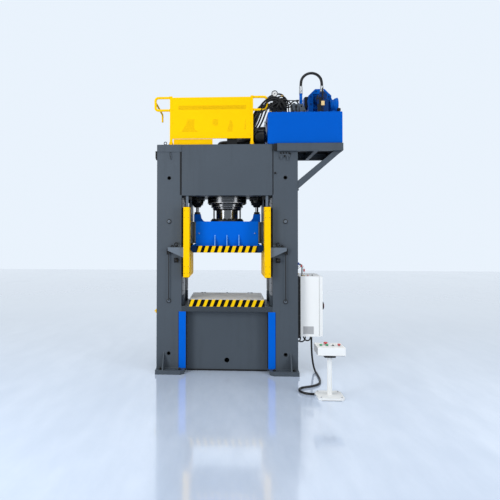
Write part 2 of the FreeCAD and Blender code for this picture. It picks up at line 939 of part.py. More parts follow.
def make_gland_ring():
    """The bolted ring that closes the cylinder's mouth round the ram."""
    body = new_body("gland_ring")
    ease = d.cover_sheet / 2
    hole = d.ram_radius + d.ram_clearance
    bottom = step_bottom - d.gland_height
    turn(body, [
        (hole, bottom), (d.gland_radius - ease, bottom), (d.gland_radius, bottom + ease),
        (d.gland_radius, step_bottom), (hole, step_bottom)])
    rods = [(side * d.stroke_rod_place, 0, d.stroke_rod_radius + d.ram_clearance) for side in (-1, 1)]
    shape_between(body, "XY", bottom, step_bottom, circles=rods, cut=True)
    return body


node(make_gland_ring(), "gland_ring")


def make_main_ram():
    """The ground and chromed ram, eased at its upper end."""
    body = new_body("main_ram")
    ease = d.cover_sheet
    top = ram_floor + d.ram_length
    turn(body, [
        (0, ram_floor), (d.ram_radius, ram_floor), (d.ram_radius, top - ease),
        (d.ram_radius - ease, top), (0, top)])
    return body


node(make_main_ram(), "main_ram")


def make_ram_flange():
    """The bolted flange that joins the ram to the slider."""
    body = new_body("ram_flange")
    ease = d.cover_sheet
    turn(body, [
        (0, slider_top), (d.ram_flange_radius, slider_top), (d.ram_flange_radius, ram_floor - ease),
        (d.ram_flange_radius - ease, ram_floor), (0, ram_floor)])
    return body


node(make_ram_flange(), "ram_flange")

stroke_rods = []
for side in (-1, 1):
    stroke_rods.append(cylinder(
        "stroke_rod", side * d.stroke_rod_place, 0, ram_floor, d.stroke_rod_radius, d.ram_length - 160))
node(group("stroke_rods", stroke_rods), "stroke_rods")


def make_return_cylinder(side):
    """A slim lifting cylinder through the crown, with a collar and a nose."""
    body = new_body("return_cylinder")
    hole = d.return_rod_radius + d.ram_clearance
    collar = crown_underside - d.return_collar_height
    nose = collar - d.return_nose_height
    top = d.frame_height
    turn(body, [
        (hole, nose), (2 * d.return_rod_radius, nose), (d.return_collar_radius - 24, collar),
        (d.return_collar_radius, collar + 30), (d.return_collar_radius, crown_underside),
        (d.return_radius, crown_underside), (d.return_radius, top), (0, top), (0, top - 25),
        (d.return_bore, top - 25), (d.return_bore, collar), (hole, collar)])
    return place(body, side * d.return_place)


node(group("return_cylinders", [make_return_cylinder(side) for side in (-1, 1)]), "return_cylinders")


def make_return_rod(side):
    """A chromed rod with its piston, standing on the slider's lug."""
    body = new_body("return_rod")
    bottom = slider_top + d.lug_height
    top = bottom + d.return_rod_length
    piston = d.return_bore - d.ram_clearance
    seat = top - d.return_piston_height
    turn(body, [
        (0, bottom), (d.return_rod_radius, bottom), (d.return_rod_radius, seat),
        (piston, seat), (piston, top), (0, top)])
    return place(body, side * d.return_place)


node(group("return_rods", [make_return_rod(side) for side in (-1, 1)]), "return_rods")


# ---------------------------------------------------------------- light curtains

curtain_y = front_face - d.curtain_standoff - d.curtain_width / 2


def curtain_across(end):
    """Where a curtain's middle stands, sideways; the rear pair stands further out."""
    return curtain_place if end < 0 else curtain_place + d.curtain_rear_shift


def make_curtain(side, end):
    """A square light-curtain housing with the beam slot on its inner face."""
    body = new_body("light_curtain")
    half = d.curtain_width / 2
    slot = d.curtain_slot / 2
    inner = side * (curtain_across(end) - half)
    floor = inner + side * d.curtain_slot_depth
    outer = side * (curtain_across(end) + half)
    middle = -end * curtain_y
    inward = -end
    flange = end * d.curtain_flange
    sheet = inner + side * d.side_sheet
    outline = [
        (outer, middle - inward * half), (outer, middle + inward * half), (sheet, middle + inward * half),
        (sheet, flange), (inner, flange), (inner, middle + inward * slot), (floor, middle + inward * slot),
        (floor, middle - inward * slot), (inner, middle - inward * slot), (inner, middle - inward * half)]
    shape_between(body, "XY", curtain_bottom, curtain_top, [outline])
    return body


curtains = [make_curtain(side, end) for side in (-1, 1) for end in (-1, 1)]
node(group("light_curtains", curtains), "light_curtains")


def make_bracket(side, end):
    """A gusseted sheet bracket from the upright's face to the curtain."""
    body = new_body("curtain_bracket")
    near_x = side * (curtain_across(end) + d.curtain_width / 2)
    far_x = near_x + side * d.bracket_reach
    wall = end * back_face
    tip = -end * curtain_y
    low, high = sorted((wall, tip), key=lambda size: size.number)
    sheet = d.bracket_sheet
    web = [
        (near_x, bracket_top), (far_x, bracket_top),
        (far_x, bracket_top - d.bracket_tip), (near_x, bracket_top - d.bracket_drop)]
    shelf = rectangle(near_x, far_x, bracket_top - sheet, bracket_top)
    shape_between(body, "XZ", low, high, [shelf])
    edge = (tip, tip - end * sheet)
    web_low, web_high = sorted(edge, key=lambda size: size.number)
    shape_between(body, "XZ", web_low, web_high, [web])
    return body


def make_hanger(side, end):
    """A bent bar that hangs the curtain's top end from the crown."""
    body = new_body("curtain_hanger")
    half = d.hanger_width / 2
    root = end * (back_face - d.hanger_width)
    back = root + end * d.hanger_sheet
    tip = -end * (curtain_y - d.curtain_width / 4)
    roof = curtain_top + d.hanger_sheet
    outline = [
        (root, crown_underside), (back, crown_underside), (back, roof),
        (tip, roof), (tip, curtain_top), (root, curtain_top)]
    middle = side * curtain_across(end)
    shape_between(body, "YZ", middle - half, middle + half, [outline])
    return body


holders = []
for side in (-1, 1):
    for end in (-1, 1):
        holders.append(make_bracket(side, end))
        holders.append(make_hanger(side, end))
node(group("curtain_brackets", holders), "curtain_brackets")


def make_sensor_cable(side):
    """The curtain's lead, clipped down the upright's face to its port ring."""
    x = side * (inner_face + d.access_hole_inset).number
    y = front_face.number - d.port_ring_proud.number
    run = y - 4 * d.cable_radius.number
    high = bracket_top.number - d.bracket_sheet.number
    port = d.cable_port_height.number
    points = [
        FreeCAD.Vector(x, run, high), FreeCAD.Vector(x, run, port),
        FreeCAD.Vector(x, y + d.upright_wall.number, port)]
    return tube("sensor_cable", points, d.cable_radius.number, [3 * d.cable_radius.number])


sensor_cables = [make_sensor_cable(side) for side in (-1, 1)]


# ---------------------------------------------------------------- guard on the crown

def guard_loop(name, corners, radius=d.guard_tube_radius):
    """A bent rail tube; its inner corners share one bend radius."""
    points = [FreeCAD.Vector(*[size_of(value).number for value in corner]) for corner in corners]
    bends = [d.guard_tube_bend.number] * (len(points) - 2)
    return tube(name, points, radius.number, bends)


def make_guard_frame():
    """Two posts on foot plates with gussets, and the bent side rails."""
    half = d.guard_post / 2
    rail_y = -d.guard_front
    members = []
    for x in (-guard_left, d.guard_right):
        members.append(box("guard_post", x - half, x + half, rail_y - half, rail_y + half,
                           d.frame_height, guard_top + half))
        foot = d.guard_foot / 2
        members.append(box("guard_foot", x - foot, x + foot, rail_y - foot, rail_y + foot,
                           d.frame_height, d.frame_height + d.guard_foot_plate))
        web = new_body("guard_gusset")
        rise = d.frame_height + d.guard_foot
        outline = [(x - foot, d.frame_height), (x + foot, d.frame_height), (x + half, rise), (x - half, rise)]
        shape_between(web, "XZ", rail_y - d.guard_foot_plate / 2, rail_y + d.guard_foot_plate / 2, [outline])
        members.append(web)
    far_x = -guard_left - d.guard_side_reach
    far_y = rail_y + d.guard_side_depth
    members.append(guard_loop("left_rail", [
        (-guard_left, rail_y, guard_top), (far_x, rail_y, guard_top),
        (far_x, rail_y, guard_middle), (-guard_left, rail_y, guard_middle)]))
    level = guard_top - d.guard_side_drop
    members.append(guard_loop("side_rail", [
        (far_x, rail_y, level), (far_x, far_y, level), (far_x, far_y, guard_middle)], d.guard_side_radius))
    right_x = d.guard_right + d.guard_right_reach
    for height in (guard_top - d.guard_tube_radius, guard_panel_bottom + d.guard_tube_radius):
        members.append(cylinder("cross_rail", -guard_left, rail_y, height, d.guard_tube_radius,
                                guard_left + d.guard_right, "+X"))
    members.append(guard_loop("right_rail", [
        (d.guard_right, rail_y, guard_top), (right_x, rail_y, guard_top),
        (right_x, rail_y, guard_middle), (d.guard_right, rail_y, guard_middle)]))
    return fused("guard_frame", members)


node(make_guard_frame(), "guard_frame")

panel_back = -d.guard_front - d.guard_tube_radius - d.sheet_clearance
panel = box("front_sheet", d.guard_post / 2 - guard_left, d.guard_right - d.guard_post / 2,
            panel_back - d.guard_panel_sheet, panel_back, guard_panel_bottom, guard_top)
board_left = d.guard_foot / 2 - guard_left + d.sheet_clearance
toe_board = box("toe_board", board_left, board_left + d.toe_board_length,
                -d.guard_front, d.guard_panel_sheet - d.guard_front,
                d.frame_height, d.frame_height + d.toe_board_height)


def make_side_sheet(side):
    """A yellow sheet beside the slider, between the shoes, hung from the crown by two straps."""
    body = new_body("side_sheet")
    near = side * (curtain_place - d.curtain_width / 2)
    front = -d.side_sheet_front
    rear = d.side_sheet_rear
    strap = d.side_sheet_strap
    outline = [
        (front, curtain_bottom), (rear, curtain_bottom), (rear, crown_underside), (rear - strap, crown_underside),
        (rear - strap, curtain_top), (front + strap, curtain_top), (front + strap, crown_underside),
        (front, crown_underside)]
    low, high = sorted((near, near + side * d.side_sheet), key=lambda size: size.number)
    shape_between(body, "YZ", low, high, [outline])
    return body


node(group("guard_panel", [panel, toe_board] + [make_side_sheet(side) for side in (-1, 1)]), "guard_panel")


# ---------------------------------------------------------------- platform and tank

def make_platform():
    """Two long channels bolted to the right upright, tied by cross members."""
    body = new_body("platform")
    sheet = d.channel_sheet
    low = platform_underside
    high = d.frame_height
    for end in (-1, 1):
        wall = end * back_face
        web = -end * platform_front
        outline = [
            (wall, low), (web, low), (web, high), (wall, high), (wall, high - sheet),
            (web - end * sheet, high - sheet), (web - end * sheet, low + sheet), (wall, low + sheet)]
        shape_between(body, "YZ", d.platform_left, d.platform_right, [outline])
    tie_y = -platform_front - sheet
    for face, sign in ((d.platform_middle, 1), (d.platform_right, -1)):
        back = face + sign * d.channel_width
        outline = [
            (face, low), (back, low), (back, low + sheet), (face + sign * sheet, low + sheet),
            (face + sign * sheet, high - sheet), (back, high - sheet), (back, high), (face, high)]
        shape_between(body, "XZ", -tie_y, tie_y, [outline])
    return body


node(make_platform(), "platform")


def make_brace(end):
    """A sloping channel from the upright's side to the platform's far end."""
    body = new_body("platform_brace")
    far = d.platform_right - d.channel_sheet
    outline = [
        (outer_face, brace_foot), (outer_face, brace_foot + d.brace_depth * 4 / 3),
        (far - d.brace_depth * 4 / 3, platform_underside), (far, platform_underside)]
    wall = end * back_face
    low, high = sorted((wall, wall - end * d.brace_width), key=lambda size: size.number)
    shape_between(body, "XZ", low, high, [outline])
    sheet = d.channel_sheet
    rim = d.brace_depth / 4
    pocket = [
        (outer_face + rim, brace_foot + 2 * rim), (outer_face + rim, brace_foot + 4 * rim),
        (far - 5 * rim, platform_underside - rim), (far - 3 * rim, platform_underside - rim)]
    inner, outer = (low + sheet, high) if end < 0 else (low, high - sheet)
    shape_between(body, "XZ", inner, outer, [pocket], cut=True)
    return body


node(group("platform_braces", [make_brace(end) for end in (-1, 1)]), "platform_braces")


def make_tank():
    """The open-topped oil tank on two skids, with eased upright corners."""
    body = new_body("tank")
    half = d.tank_depth / 2
    roof = tank_floor + d.tank_height
    shape_between(body, "XY", tank_floor, roof, [rectangle(d.tank_left, d.tank_right, -half, half)])
    dress(body, "Fillet", 12, lambda edge: runs_along(edge, "z"))
    wall = d.tank_wall
    inside = rectangle(d.tank_left + wall, d.tank_right - wall, wall - half, half - wall)
    shape_between(body, "XY", tank_floor + wall, roof, [inside], cut=True)
    for end in (-1, 1):
        far = end * (half - wall)
        low, high = sorted((far, far - end * d.channel_width), key=lambda size: size.number)
        skid = rectangle(d.tank_left + wall, d.tank_right - wall, low, high)
        shape_between(body, "XY", d.frame_height, tank_floor, [skid])
    return body


node(make_tank(), "tank")


def make_tank_lid():
    """The bolted plate that closes the tank and carries the power unit."""
    body = new_body("tank_lid")
    half = d.tank_depth / 2
    shape_between(body, "XY", tank_top - d.tank_lid_sheet, tank_top,
                  [rectangle(d.tank_left, d.tank_right, -half, half)])
    dress(body, "Fillet", 12, lambda edge: runs_along(edge, "z"))
    return body


node(make_tank_lid(), "tank_lid")


def make_side_cover():
    """The round cover and neck on the tank's left side."""
    body = new_body("tank_side_cover")
    ease = d.tank_wall / 2
    turn(body, [
        (0, 0), (d.side_cover_radius, 0), (d.side_cover_radius, d.side_cover_sheet - ease),
        (d.side_cover_radius - ease, d.side_cover_sheet), (0, d.side_cover_sheet)])
    place(body, d.tank_left, -d.side_cover_place, side_cover_height, TURNS["-X"])
    return body


node(make_side_cover(), "tank_side_cover")


def make_prefill_valve():
    """The prefill valve on the cylinder's top and its suction pipe."""
    body = new_body("prefill_valve_body")
    ease = d.cover_sheet
    top = d.frame_height + d.prefill_height
    turn(body, [
        (0, d.frame_height), (d.prefill_radius, d.frame_height), (d.prefill_radius, top - 4 * ease),
        (d.prefill_radius - 4 * ease, top), (0, top)])
    start = (d.tank_left - d.side_cover_sheet).number
    y = -d.side_cover_place.number
    high = side_cover_height.number
    low = d.frame_height.number + d.prefill_pipe_radius.number + d.cover_sheet.number
    points = [
        FreeCAD.Vector(start, y, high), FreeCAD.Vector(start - 190, y, high),
        FreeCAD.Vector(start - 190, y, low), FreeCAD.Vector(0, y, low)]
    pipe = tube("suction_pipe", points, d.prefill_pipe_radius.number, [d.prefill_pipe_bend.number] * 2)
    front = 2 * d.cover_sheet - d.manifold_front
    ports = box("port_block", 0, d.prefill_radius, front, front + d.manifold_depth - 2 * d.cover_sheet,
                d.frame_height, top)
    bridge = box("port_bridge", 0, d.prefill_radius / 2, front + d.cover_sheet, 0, d.frame_height,
                 top - 6 * ease)
    return fused("prefill_valve_and_pipe", [body, pipe, ports, bridge])


node(make_prefill_valve(), "prefill_valve")


# ---------------------------------------------------------------- power unit

def make_motor():
    """The main electric motor, end-on to the front: frame, channelled end shield, feet and fan cowl."""
    body = new_body("motor_frame")
    radius = d.motor_radius
    front = d.motor_length
    back = -d.motor_cowl_length
    lip = d.cover_sheet
    hole = d.motor_shaft_radius + d.shaft_clearance
    turn(body, [
        (hole, 0), (radius - 3 * lip, 0), (radius - 3 * lip, lip), (radius, 2 * lip),
        (radius, front - 5 * lip), (radius - 3 * lip, front), (d.bell_radius, front),
        (d.bell_radius, front - lip), (hole, front - lip)])
    place(body, d.motor_place, d.motor_length - d.motor_front, motor_axis, TURNS["-Y"])
    cowl = new_body("motor_cowl")
    turn(cowl, [
        (0, back), (radius - 8 * lip, back), (radius - 4 * lip, back + 4 * lip),
        (radius - 3 * lip, 0), (radius - 4 * lip, 0), (radius - 5 * lip, back + 5 * lip), (0, back + 5 * lip)])
    place(cowl, d.motor_place, d.motor_length - d.motor_front, motor_axis, TURNS["-Y"])
    feet = []
    half = d.motor_foot_width / 2
    foot_front = -d.motor_front + 6 * lip
    box_floor = motor_axis - d.terminal_box_height / 2 - d.sheet_clearance
    for side, top in ((-1, box_floor), (1, motor_axis)):
        web = new_body("motor_foot")
        x = d.motor_place + side * half
        outline = rectangle(x - side * half / 2, x, tank_top, top)
        shape_between(web, "XZ", foot_front, foot_front + d.motor_length * 2 / 3, [outline])
        feet.append(web)
    shield = new_body("motor_shield")
    x = d.motor_place
    channel = d.bell_radius + lip
    roof = motor_axis + channel
    shoulder = d.motor_shoulder
    outline = [
        (x - radius, tank_top), (x - channel, tank_top), (x - channel, roof), (x + channel, roof),
        (x + channel, tank_top), (x + radius, tank_top), (x + radius, motor_axis + shoulder),
        (x + shoulder, motor_axis + radius), (x - shoulder, motor_axis + radius),
        (x - radius, motor_axis + shoulder)]
    shape_between(shield, "XZ", -d.motor_front - d.motor_shield_depth, -d.motor_front, [outline])
    return fused("motor_assembly", [body, shield] + feet), cowl


motor, motor_cowl = make_motor()
node(motor, "motor")
node(motor_cowl, "motor_fan_cowl")


def make_motor_shaft():
    """The motor's shaft with its cooling fan behind and the coupling in front."""
    length = d.motor_length
    ring = d.bell_window / 2
    shaft = cylinder("shaft", 0, 0, -d.motor_cowl_length / 2, d.motor_shaft_radius,
                     length + d.motor_cowl_length / 2 + d.bell_length / 2)
    hub = cylinder("coupling", 0, 0, length + 2 * d.cover_sheet, ring, d.bell_length - 4 * d.cover_sheet)
    fan_disc = cylinder("fan_disc", 0, 0, -d.motor_cowl_length / 2, 3 * d.motor_shaft_radius, 2 * d.cover_sheet)
    members = [shaft, hub, fan_disc]
    blades = 6
    for index in range(blades):
        blade = box("fan_blade", 2 * d.motor_shaft_radius, d.motor_radius * 2 / 3,
                    -d.cover_sheet / 2, d.cover_sheet / 2,
                    -d.motor_cowl_length / 2, 5 * d.cover_sheet - d.motor_cowl_length / 2)
        turned = DOC.addObject("Part::Compound", "fan_blade_turned")
        turned.Links = [blade]
        turned.Placement = FreeCAD.Placement(
            FreeCAD.Vector(), FreeCAD.Rotation(FreeCAD.Vector(0, 0, 1), 360.0 * index / blades))
        members.append(turned)
    item = fused("motor_shaft", members)
    return place(item, d.motor_place, d.motor_length - d.motor_front, motor_axis, TURNS["-Y"])


node(make_motor_shaft(), "motor_shaft")


def make_terminal_box():
    """The motor's terminal box, on its left shoulder."""
    low_x = d.motor_place - d.motor_radius - d.terminal_box_width + d.terminal_box_sink
    high_x = d.motor_place - d.motor_radius + d.terminal_box_sink
    body = new_body("terminal_box")
    half = d.terminal_box_height / 2
    outline = rectangle(low_x, high_x, motor_axis - half, motor_axis + half)
    shape_between(body, "XZ", -d.motor_front / 3, d.terminal_box_length - d.motor_front / 3, [outline])
    dress(body, "Fillet", 18, lambda edge: runs_along(edge, "y") and middle_of(edge).x < high_x.number - 1)
    seat = cylinder("seat", d.motor_place, -d.motor_front, motor_axis,
                    d.motor_radius + d.sheet_clearance, d.motor_length, "+Y")
    return minus("motor_terminal_box", body, seat)


node(make_terminal_box(), "motor_terminal_box")


def make_bell_housing():
    """The housing between motor and pump, with a window on each side."""
    body = new_body("bell_housing")
    wall = d.bell_wall
    turn(body, [
        (d.bell_radius - wall, 0), (d.bell_radius, 0), (d.bell_radius, wall),
        (d.bell_radius - wall, 2 * wall), (d.pump_radius + wall, d.bell_length - wall),
        (d.pump_radius + 2 * wall, d.bell_length), (d.motor_shaft_radius + wall, d.bell_length),
        (d.motor_shaft_radius + wall, d.bell_length - wall), (d.pump_radius, d.bell_length - wall),
        (d.bell_radius - 2 * wall, 2 * wall)])
    half = d.bell_window / 2
    window = rectangle(-half, half, 3 * wall, d.bell_length - 2 * wall)
    shape_between(body, "XZ", -d.bell_radius, d.bell_radius, [window], cut=True)
    return place(body, d.motor_place, -d.motor_front, motor_axis, TURNS["-Y"])


node(make_bell_housing(), "bell_housing")

pump_back = -d.motor_front - d.bell_length
hose_y = pump_back - d.pump_length / 2


def make_pump():
    """The oil pump on the bell housing, with its pressure port on top."""
    body = new_body("pump_body")
    lip = d.bell_wall
    full = d.pump_radius
    turn(body, [
        (0, 0), (full + lip, 0), (full + lip, lip), (full, 2 * lip), (full, d.pump_length - 3 * lip),
        (full - lip, d.pump_length - lip), (full - 3 * lip, d.pump_length), (0, d.pump_length)])
    place(body, d.motor_place, pump_back, motor_axis, TURNS["-Y"])
    reach = full + d.pump_port_rise
    port = cylinder("port", d.motor_place, hose_y, motor_axis, d.fitting_radius + lip, reach)
    nut = cylinder("nut", d.motor_place, hose_y, motor_axis + reach, d.fitting_radius,
                   hose_start - motor_axis - reach)
    return fused("pump_with_port", [body, port]), nut


pump, pump_nut = make_pump()
node(pump, "pump")


def make_riser():
    """The check-valve block on the lid and the blue pipe that rises from it."""
    half_x = d.riser_block_width / 2
    half_y = d.riser_block_depth / 2
    top = tank_top + d.riser_block_height
    body = new_body("riser_block")
    ease = 3 * d.cover_sheet
    left = d.hose_left - 4 / 3 * half_x
    right = d.hose_left + half_x * 2 / 3
    outline = [
        (left, tank_top), (right, tank_top), (right, tank_top + ease), (right - half_x / 2, top),
        (left + ease, top), (left, top - ease)]
    shape_between(body, "XZ", hose_y - half_y, hose_y + half_y, [outline])
    port = [(d.hose_left, tank_top + d.riser_block_height * 3 / 4, d.riser_radius / 2)]
    shape_between(body, "XZ", hose_y - half_y, hose_y, circles=port, cut=True)
    pipe_top = hose_start - d.fitting_length
    pipe = cylinder("riser", d.hose_left, hose_y, top, d.riser_radius, pipe_top - top)
    nut = cylinder("riser_nut", d.hose_left, hose_y, pipe_top, d.fitting_radius, d.fitting_length)
    return body, pipe, nut


riser_block, riser_pipe, riser_nut = make_riser()
node(riser_block, "check_valve_block")
node(riser_pipe, "riser_pipe")
node(group("hose_fittings", [pump_nut, riser_nut]), "hose_fittings")


def make_side_motor():
    """The filter circuit's small motor, on its side with a flared cowl."""
    body = new_body("filter_motor_frame")
    full = d.side_motor_radius
    length = d.side_motor_length
    lip = d.cover_sheet
    turn(body, [
        (0, 0), (full - 5 * lip, 0), (full - 4 * lip, 2 * lip), (full - 4 * lip, length / 2),
        (full - lip, length * 2 / 3), (full, length - 3 * lip), (full - 3 * lip, length), (0, length)])
    high = tank_top + full + d.side_motor_rise
    right = d.tank_right - 5 * lip
    y = -d.side_motor_place
    place(body, right - length, y, high, TURNS["+X"])
    cradle = box("cradle", right - length + lip, right - 4 * lip, y - full / 2, y + full / 2,
                 tank_top, high - full * 2 / 3)
    return fused("filter_motor_on_cradle", [body, cradle])


node(make_side_motor(), "filter_motor")


def make_breather():
    """The tank's breather cap on its neck."""
    body = new_body("breather")
    unit = d.cover_sheet
    turn(body, [
        (0, 0), (4 * unit, 0), (4 * unit, unit), (2 * unit, unit), (2 * unit, 5 * unit),
        (4.5 * unit, 5.5 * unit), (4.5 * unit, 9 * unit), (3 * unit, 10 * unit), (0, 10 * unit)])
    return place(body, d.tank_right - 7 * unit, 7.5 * unit - d.tank_depth / 2, tank_top)


node(make_breather(), "tank_breather")


# ---------------------------------------------------------------- valves, gauge and hoses

manifold_right = d.manifold_left + d.manifold_width
manifold_top = tank_top + d.manifold_height
gauge_height = manifold_top + d.gauge_rise
manifold_back = d.manifold_depth - d.manifold_front


def make_manifold():
    """The drilled valve block, with hose ports in its left face."""
    body = new_body("manifold")
    outline = rectangle(d.manifold_left, manifold_right, -d.manifold_front, manifold_back)
    shape_between(body, "XY", tank_top, manifold_top, [outline])
    dress(body, "Chamfer", 5, lambda edge: middle_of(edge).z > manifold_top.number - 1)
    return body


node(make_manifold(), "manifold")


def make_valve(row):
    """One solenoid valve: body on the block, a coil at each end."""
    middle = -d.manifold_front + d.manifold_depth * (2 * row + 1) / 6
    radius = d.valve_radius
    centre = manifold_right - d.valve_length / 2 - 2 * d.cover_sheet
    quarter = d.valve_length / 4
    axis = manifold_top + radius
    body = box("valve_body", centre - quarter, centre + quarter, middle - radius, middle + radius,
               manifold_top, manifold_top + 2 * radius)
    coils = [cylinder("coil", centre + quarter, middle, axis, radius - 3, quarter, "+X"),
             cylinder("coil", centre - quarter, middle, axis, radius - 3, quarter, "-X")]
    plug = box("plug", centre - quarter / 2, centre + quarter / 2, middle - radius / 2, middle + radius / 2,
               manifold_top + 2 * radius, manifold_top + 3 * radius)
    return fused("valve", [body, plug] + coils)


node(group("solenoid_valves", [make_valve(row) for row in range(3)]), "solenoid_valves")


def make_gauge():
    """The pressure gauge's case with its rim, on a stem from the block."""
    body = new_body("gauge")
    full = d.gauge_radius
    depth = d.gauge_depth
    rim = d.cover_sheet
    turn(body, [
        (0, 0), (full - rim, 0), (full, rim), (full, depth), (full - rim, depth), (full - rim, depth - rim),
        (0, depth - rim)])
    front = -d.manifold_front + 3 * rim
    place(body, d.gauge_place, front + depth, gauge_height, TURNS["-Y"])
    stem = cylinder("stem", d.gauge_place, front + depth / 2, manifold_top, rim,
                    gauge_height - manifold_top)
    return fused("pressure_gauge", [body, stem])


node(make_gauge(), "pressure_gauge")


def make_needle():
    """The gauge's needle: a tapered pointer on a small hub, at rest at zero."""
    body = new_body("needle")
    rim = d.cover_sheet
    face = -d.manifold_front + 3 * rim + rim
    reach = (d.gauge_radius - 2 * rim) * 0.7
    tail = rim * 3 / 2
    outline = [(-reach, -reach), (-rim / 5, rim / 5), (tail / 2, tail), (tail, tail / 2), (rim / 5, -rim / 5)]
    sheet = rim / 8
    shape_between(body, "XZ", -sheet, sheet, [outline])
    hub = cylinder("needle_hub", 0, rim - d.sheet_clearance, 0, rim / 2, rim + sheet, "-Y")
    item = fused("gauge_needle", [body, hub])
    return place(item, d.gauge_place, face - rim, gauge_height)


node(make_needle(), "gauge_needle")

left_port = d.manifold_left.number
port_height = (tank_top + d.manifold_height * 3 / 4).number
valve_side = d.prefill_radius.number
valve_port = (d.frame_height + d.prefill_height / 2).number
first_plane = d.crown_hose_first.number
spread = d.crown_hose_spread.number
hose_rows = (
    (0, 0, 0, 0), (1, 30, -55, 25), (2, -20, 20, -15), (3, 18, -25, 30), (4, -10, 40, -5), (5, 34, -40, 20), (6, 8, 5, 5))
bundles = {1: [], 2: [], 3: []}
for row, lift, reach, land in hose_rows:
    plane = first_plane + row * spread
    bundles[row % 3 + 1].append(hose("crown_hose", [
        (left_port, plane, port_height + lift),
        (left_port - 100, plane, port_height + lift),
        (left_port - 185, plane, port_height + lift - 36),
        (left_port - 249 + reach / 2, plane, port_height + lift - 102),
        (left_port - 317 + reach, plane, port_height - 272),
        (left_port - 373 + reach, plane, port_height - 452),
        (valve_side + 243 + reach / 2, plane, valve_port + 113 + land),
        (valve_side + 182, plane, valve_port + 40 + land),
        (valve_side + 96, plane, valve_port + land),
        (valve_side, plane, valve_port + land),
    ], d.crown_hose_radius.number))
for number, members in bundles.items():
    node(group("crown_hoses", members), "crown_hose_%d" % number)

hose_x = d.motor_place.number
riser_x = d.hose_left.number
hose_plane = hose_y.number
start_z = hose_start.number
half_span = (hose_x - riser_x) / 2
turns = 6
run = 2 * half_span * math.tan(math.pi / turns / 2)
arch = [(hose_x, hose_plane, start_z)]
x, z, heading = hose_x, start_z, math.pi / 2
for turn_number in range(turns):
    x += math.cos(heading) * run
    z += math.sin(heading) * run
    arch.append((x, hose_plane, z))
    heading += math.pi / turns
arch.append((riser_x, hose_plane, start_z))
cord("pressure_hose", arch, d.hose_radius.number)


# ---------------------------------------------------------------- electrical cabinet

cabinet_back = d.cabinet_width - d.cabinet_front
cabinet_top = d.cabinet_bottom + d.cabinet_height


def make_cabinet():
    """The folded cabinet shell, open to the right, hung on two wall rails."""
    body = new_body("cabinet_box")
    sheet = d.cabinet_sheet
    shape_between(body, "XY", d.cabinet_bottom, cabinet_top,
                  [rectangle(cabinet_left, cabinet_right, -d.cabinet_front, cabinet_back)])
    inside = rectangle(sheet - d.cabinet_front, cabinet_back - sheet, d.cabinet_bottom + sheet, cabinet_top - sheet)
    shape_between(body, "YZ", cabinet_left + sheet, cabinet_right, [inside], cut=True)
    lip = d.cabinet_rail / 2
    outline = rectangle(-d.cabinet_front, cabinet_back, d.cabinet_bottom, cabinet_top)
    mouth = rectangle(lip - d.cabinet_front, cabinet_back - lip, d.cabinet_bottom + lip, cabinet_top - lip)
    shape_between(body, "YZ", cabinet_right - sheet, cabinet_right, [outline, mouth])
    for level in (d.cabinet_bottom + 3 * d.cabinet_rail, cabinet_top - 4 * d.cabinet_rail):
        rail = rectangle(-d.cabinet_front, cabinet_back, level, level + d.cabinet_rail)
        shape_between(body, "YZ", outer_face, cabinet_left, [rail])
    slot_low = d.cabinet_bottom + 2 * d.cabinet_rail
    centre = (cabinet_left + cabinet_right) / 2 - 15
    for row in range(7):
        level = slot_low + row * 18
        slot = rectangle(centre - 90, centre + 90, level, level + 7)
        shape_between(body, "XZ", -d.cabinet_front, sheet - d.cabinet_front, [slot], cut=True)
    return body


def make_door():
    """The cabinet's door: a shallow folded tray hinged at the rear edge."""
    body = new_body("cabinet_door")
    inset = d.door_inset
    sheet = d.cabinet_sheet
    face = cabinet_right + d.sheet_clearance
    outline = rectangle(inset - d.cabinet_front, cabinet_back - inset, d.cabinet_bottom + inset, cabinet_top - inset)
    shape_between(body, "YZ", face, face + d.door_depth, [outline])
    lip = inset + sheet
    inside = rectangle(lip - d.cabinet_front, cabinet_back - lip, d.cabinet_bottom + lip, cabinet_top - lip)
    shape_between(body, "YZ", face, face + d.door_depth - sheet, [inside], cut=True)
    hole = [(d.handle_place - d.cabinet_front, d.handle_height, d.handle_shaft_radius + d.sheet_clearance)]
    shape_between(body, "YZ", face, face + d.door_depth, circles=hole, cut=True)
    return body


node(make_door(), "cabinet_door")


def make_hinges():
    """Three barrel hinges on the cabinet's rear corner."""
    members = []
    barrel = d.hinge_radius
    for share in (1, 3, 5):
        middle = d.cabinet_bottom + d.cabinet_height * share / 6
        members.append(cylinder("hinge_barrel", cabinet_right + barrel, cabinet_back + barrel,
                                middle - 5 * barrel, barrel, 10 * barrel))
        members.append(box("hinge_leaf", cabinet_right - 5 * barrel, cabinet_right + barrel,
                           cabinet_back, cabinet_back + barrel / 2, middle - 5 * barrel, middle + 5 * barrel))
    return members


def make_cabinet_gland():
    """The conduit's gland in the cabinet's floor."""
    return cylinder("cabinet_gland", gland_x, gland_y, d.cabinet_bottom - d.gland_length,
                    d.gland_nut_radius, d.gland_length + d.cabinet_sheet)


gland_x = (cabinet_left + cabinet_right) / 2 + d.gland_offset
gland_y = -d.gland_setback
node(fused("cabinet_shell", [make_cabinet(), make_cabinet_gland()] + make_hinges()), "cabinet")


def make_handle():
    """The rotary isolator on the door: round plate, grip and shaft."""
    face = cabinet_right + d.sheet_clearance + d.door_depth
    y = d.handle_place - d.cabinet_front
    unit = d.handle_radius / 6
    shaft = cylinder("handle_shaft", face - 2 * unit, y, d.handle_height, d.handle_shaft_radius,
                     2 * unit + d.sheet_clearance, "+X")
    plate = cylinder("handle_plate", face + d.sheet_clearance, y, d.handle_height, d.handle_radius, unit, "+X")
    grip = box("handle_grip", face + unit, face + 5 * unit, y - unit, y + unit,
               d.handle_height - d.handle_radius * 0.9, d.handle_height + d.handle_radius * 0.9)
    return fused("isolator_handle", [shaft, plate, grip])


node(make_handle(), "isolator_handle")


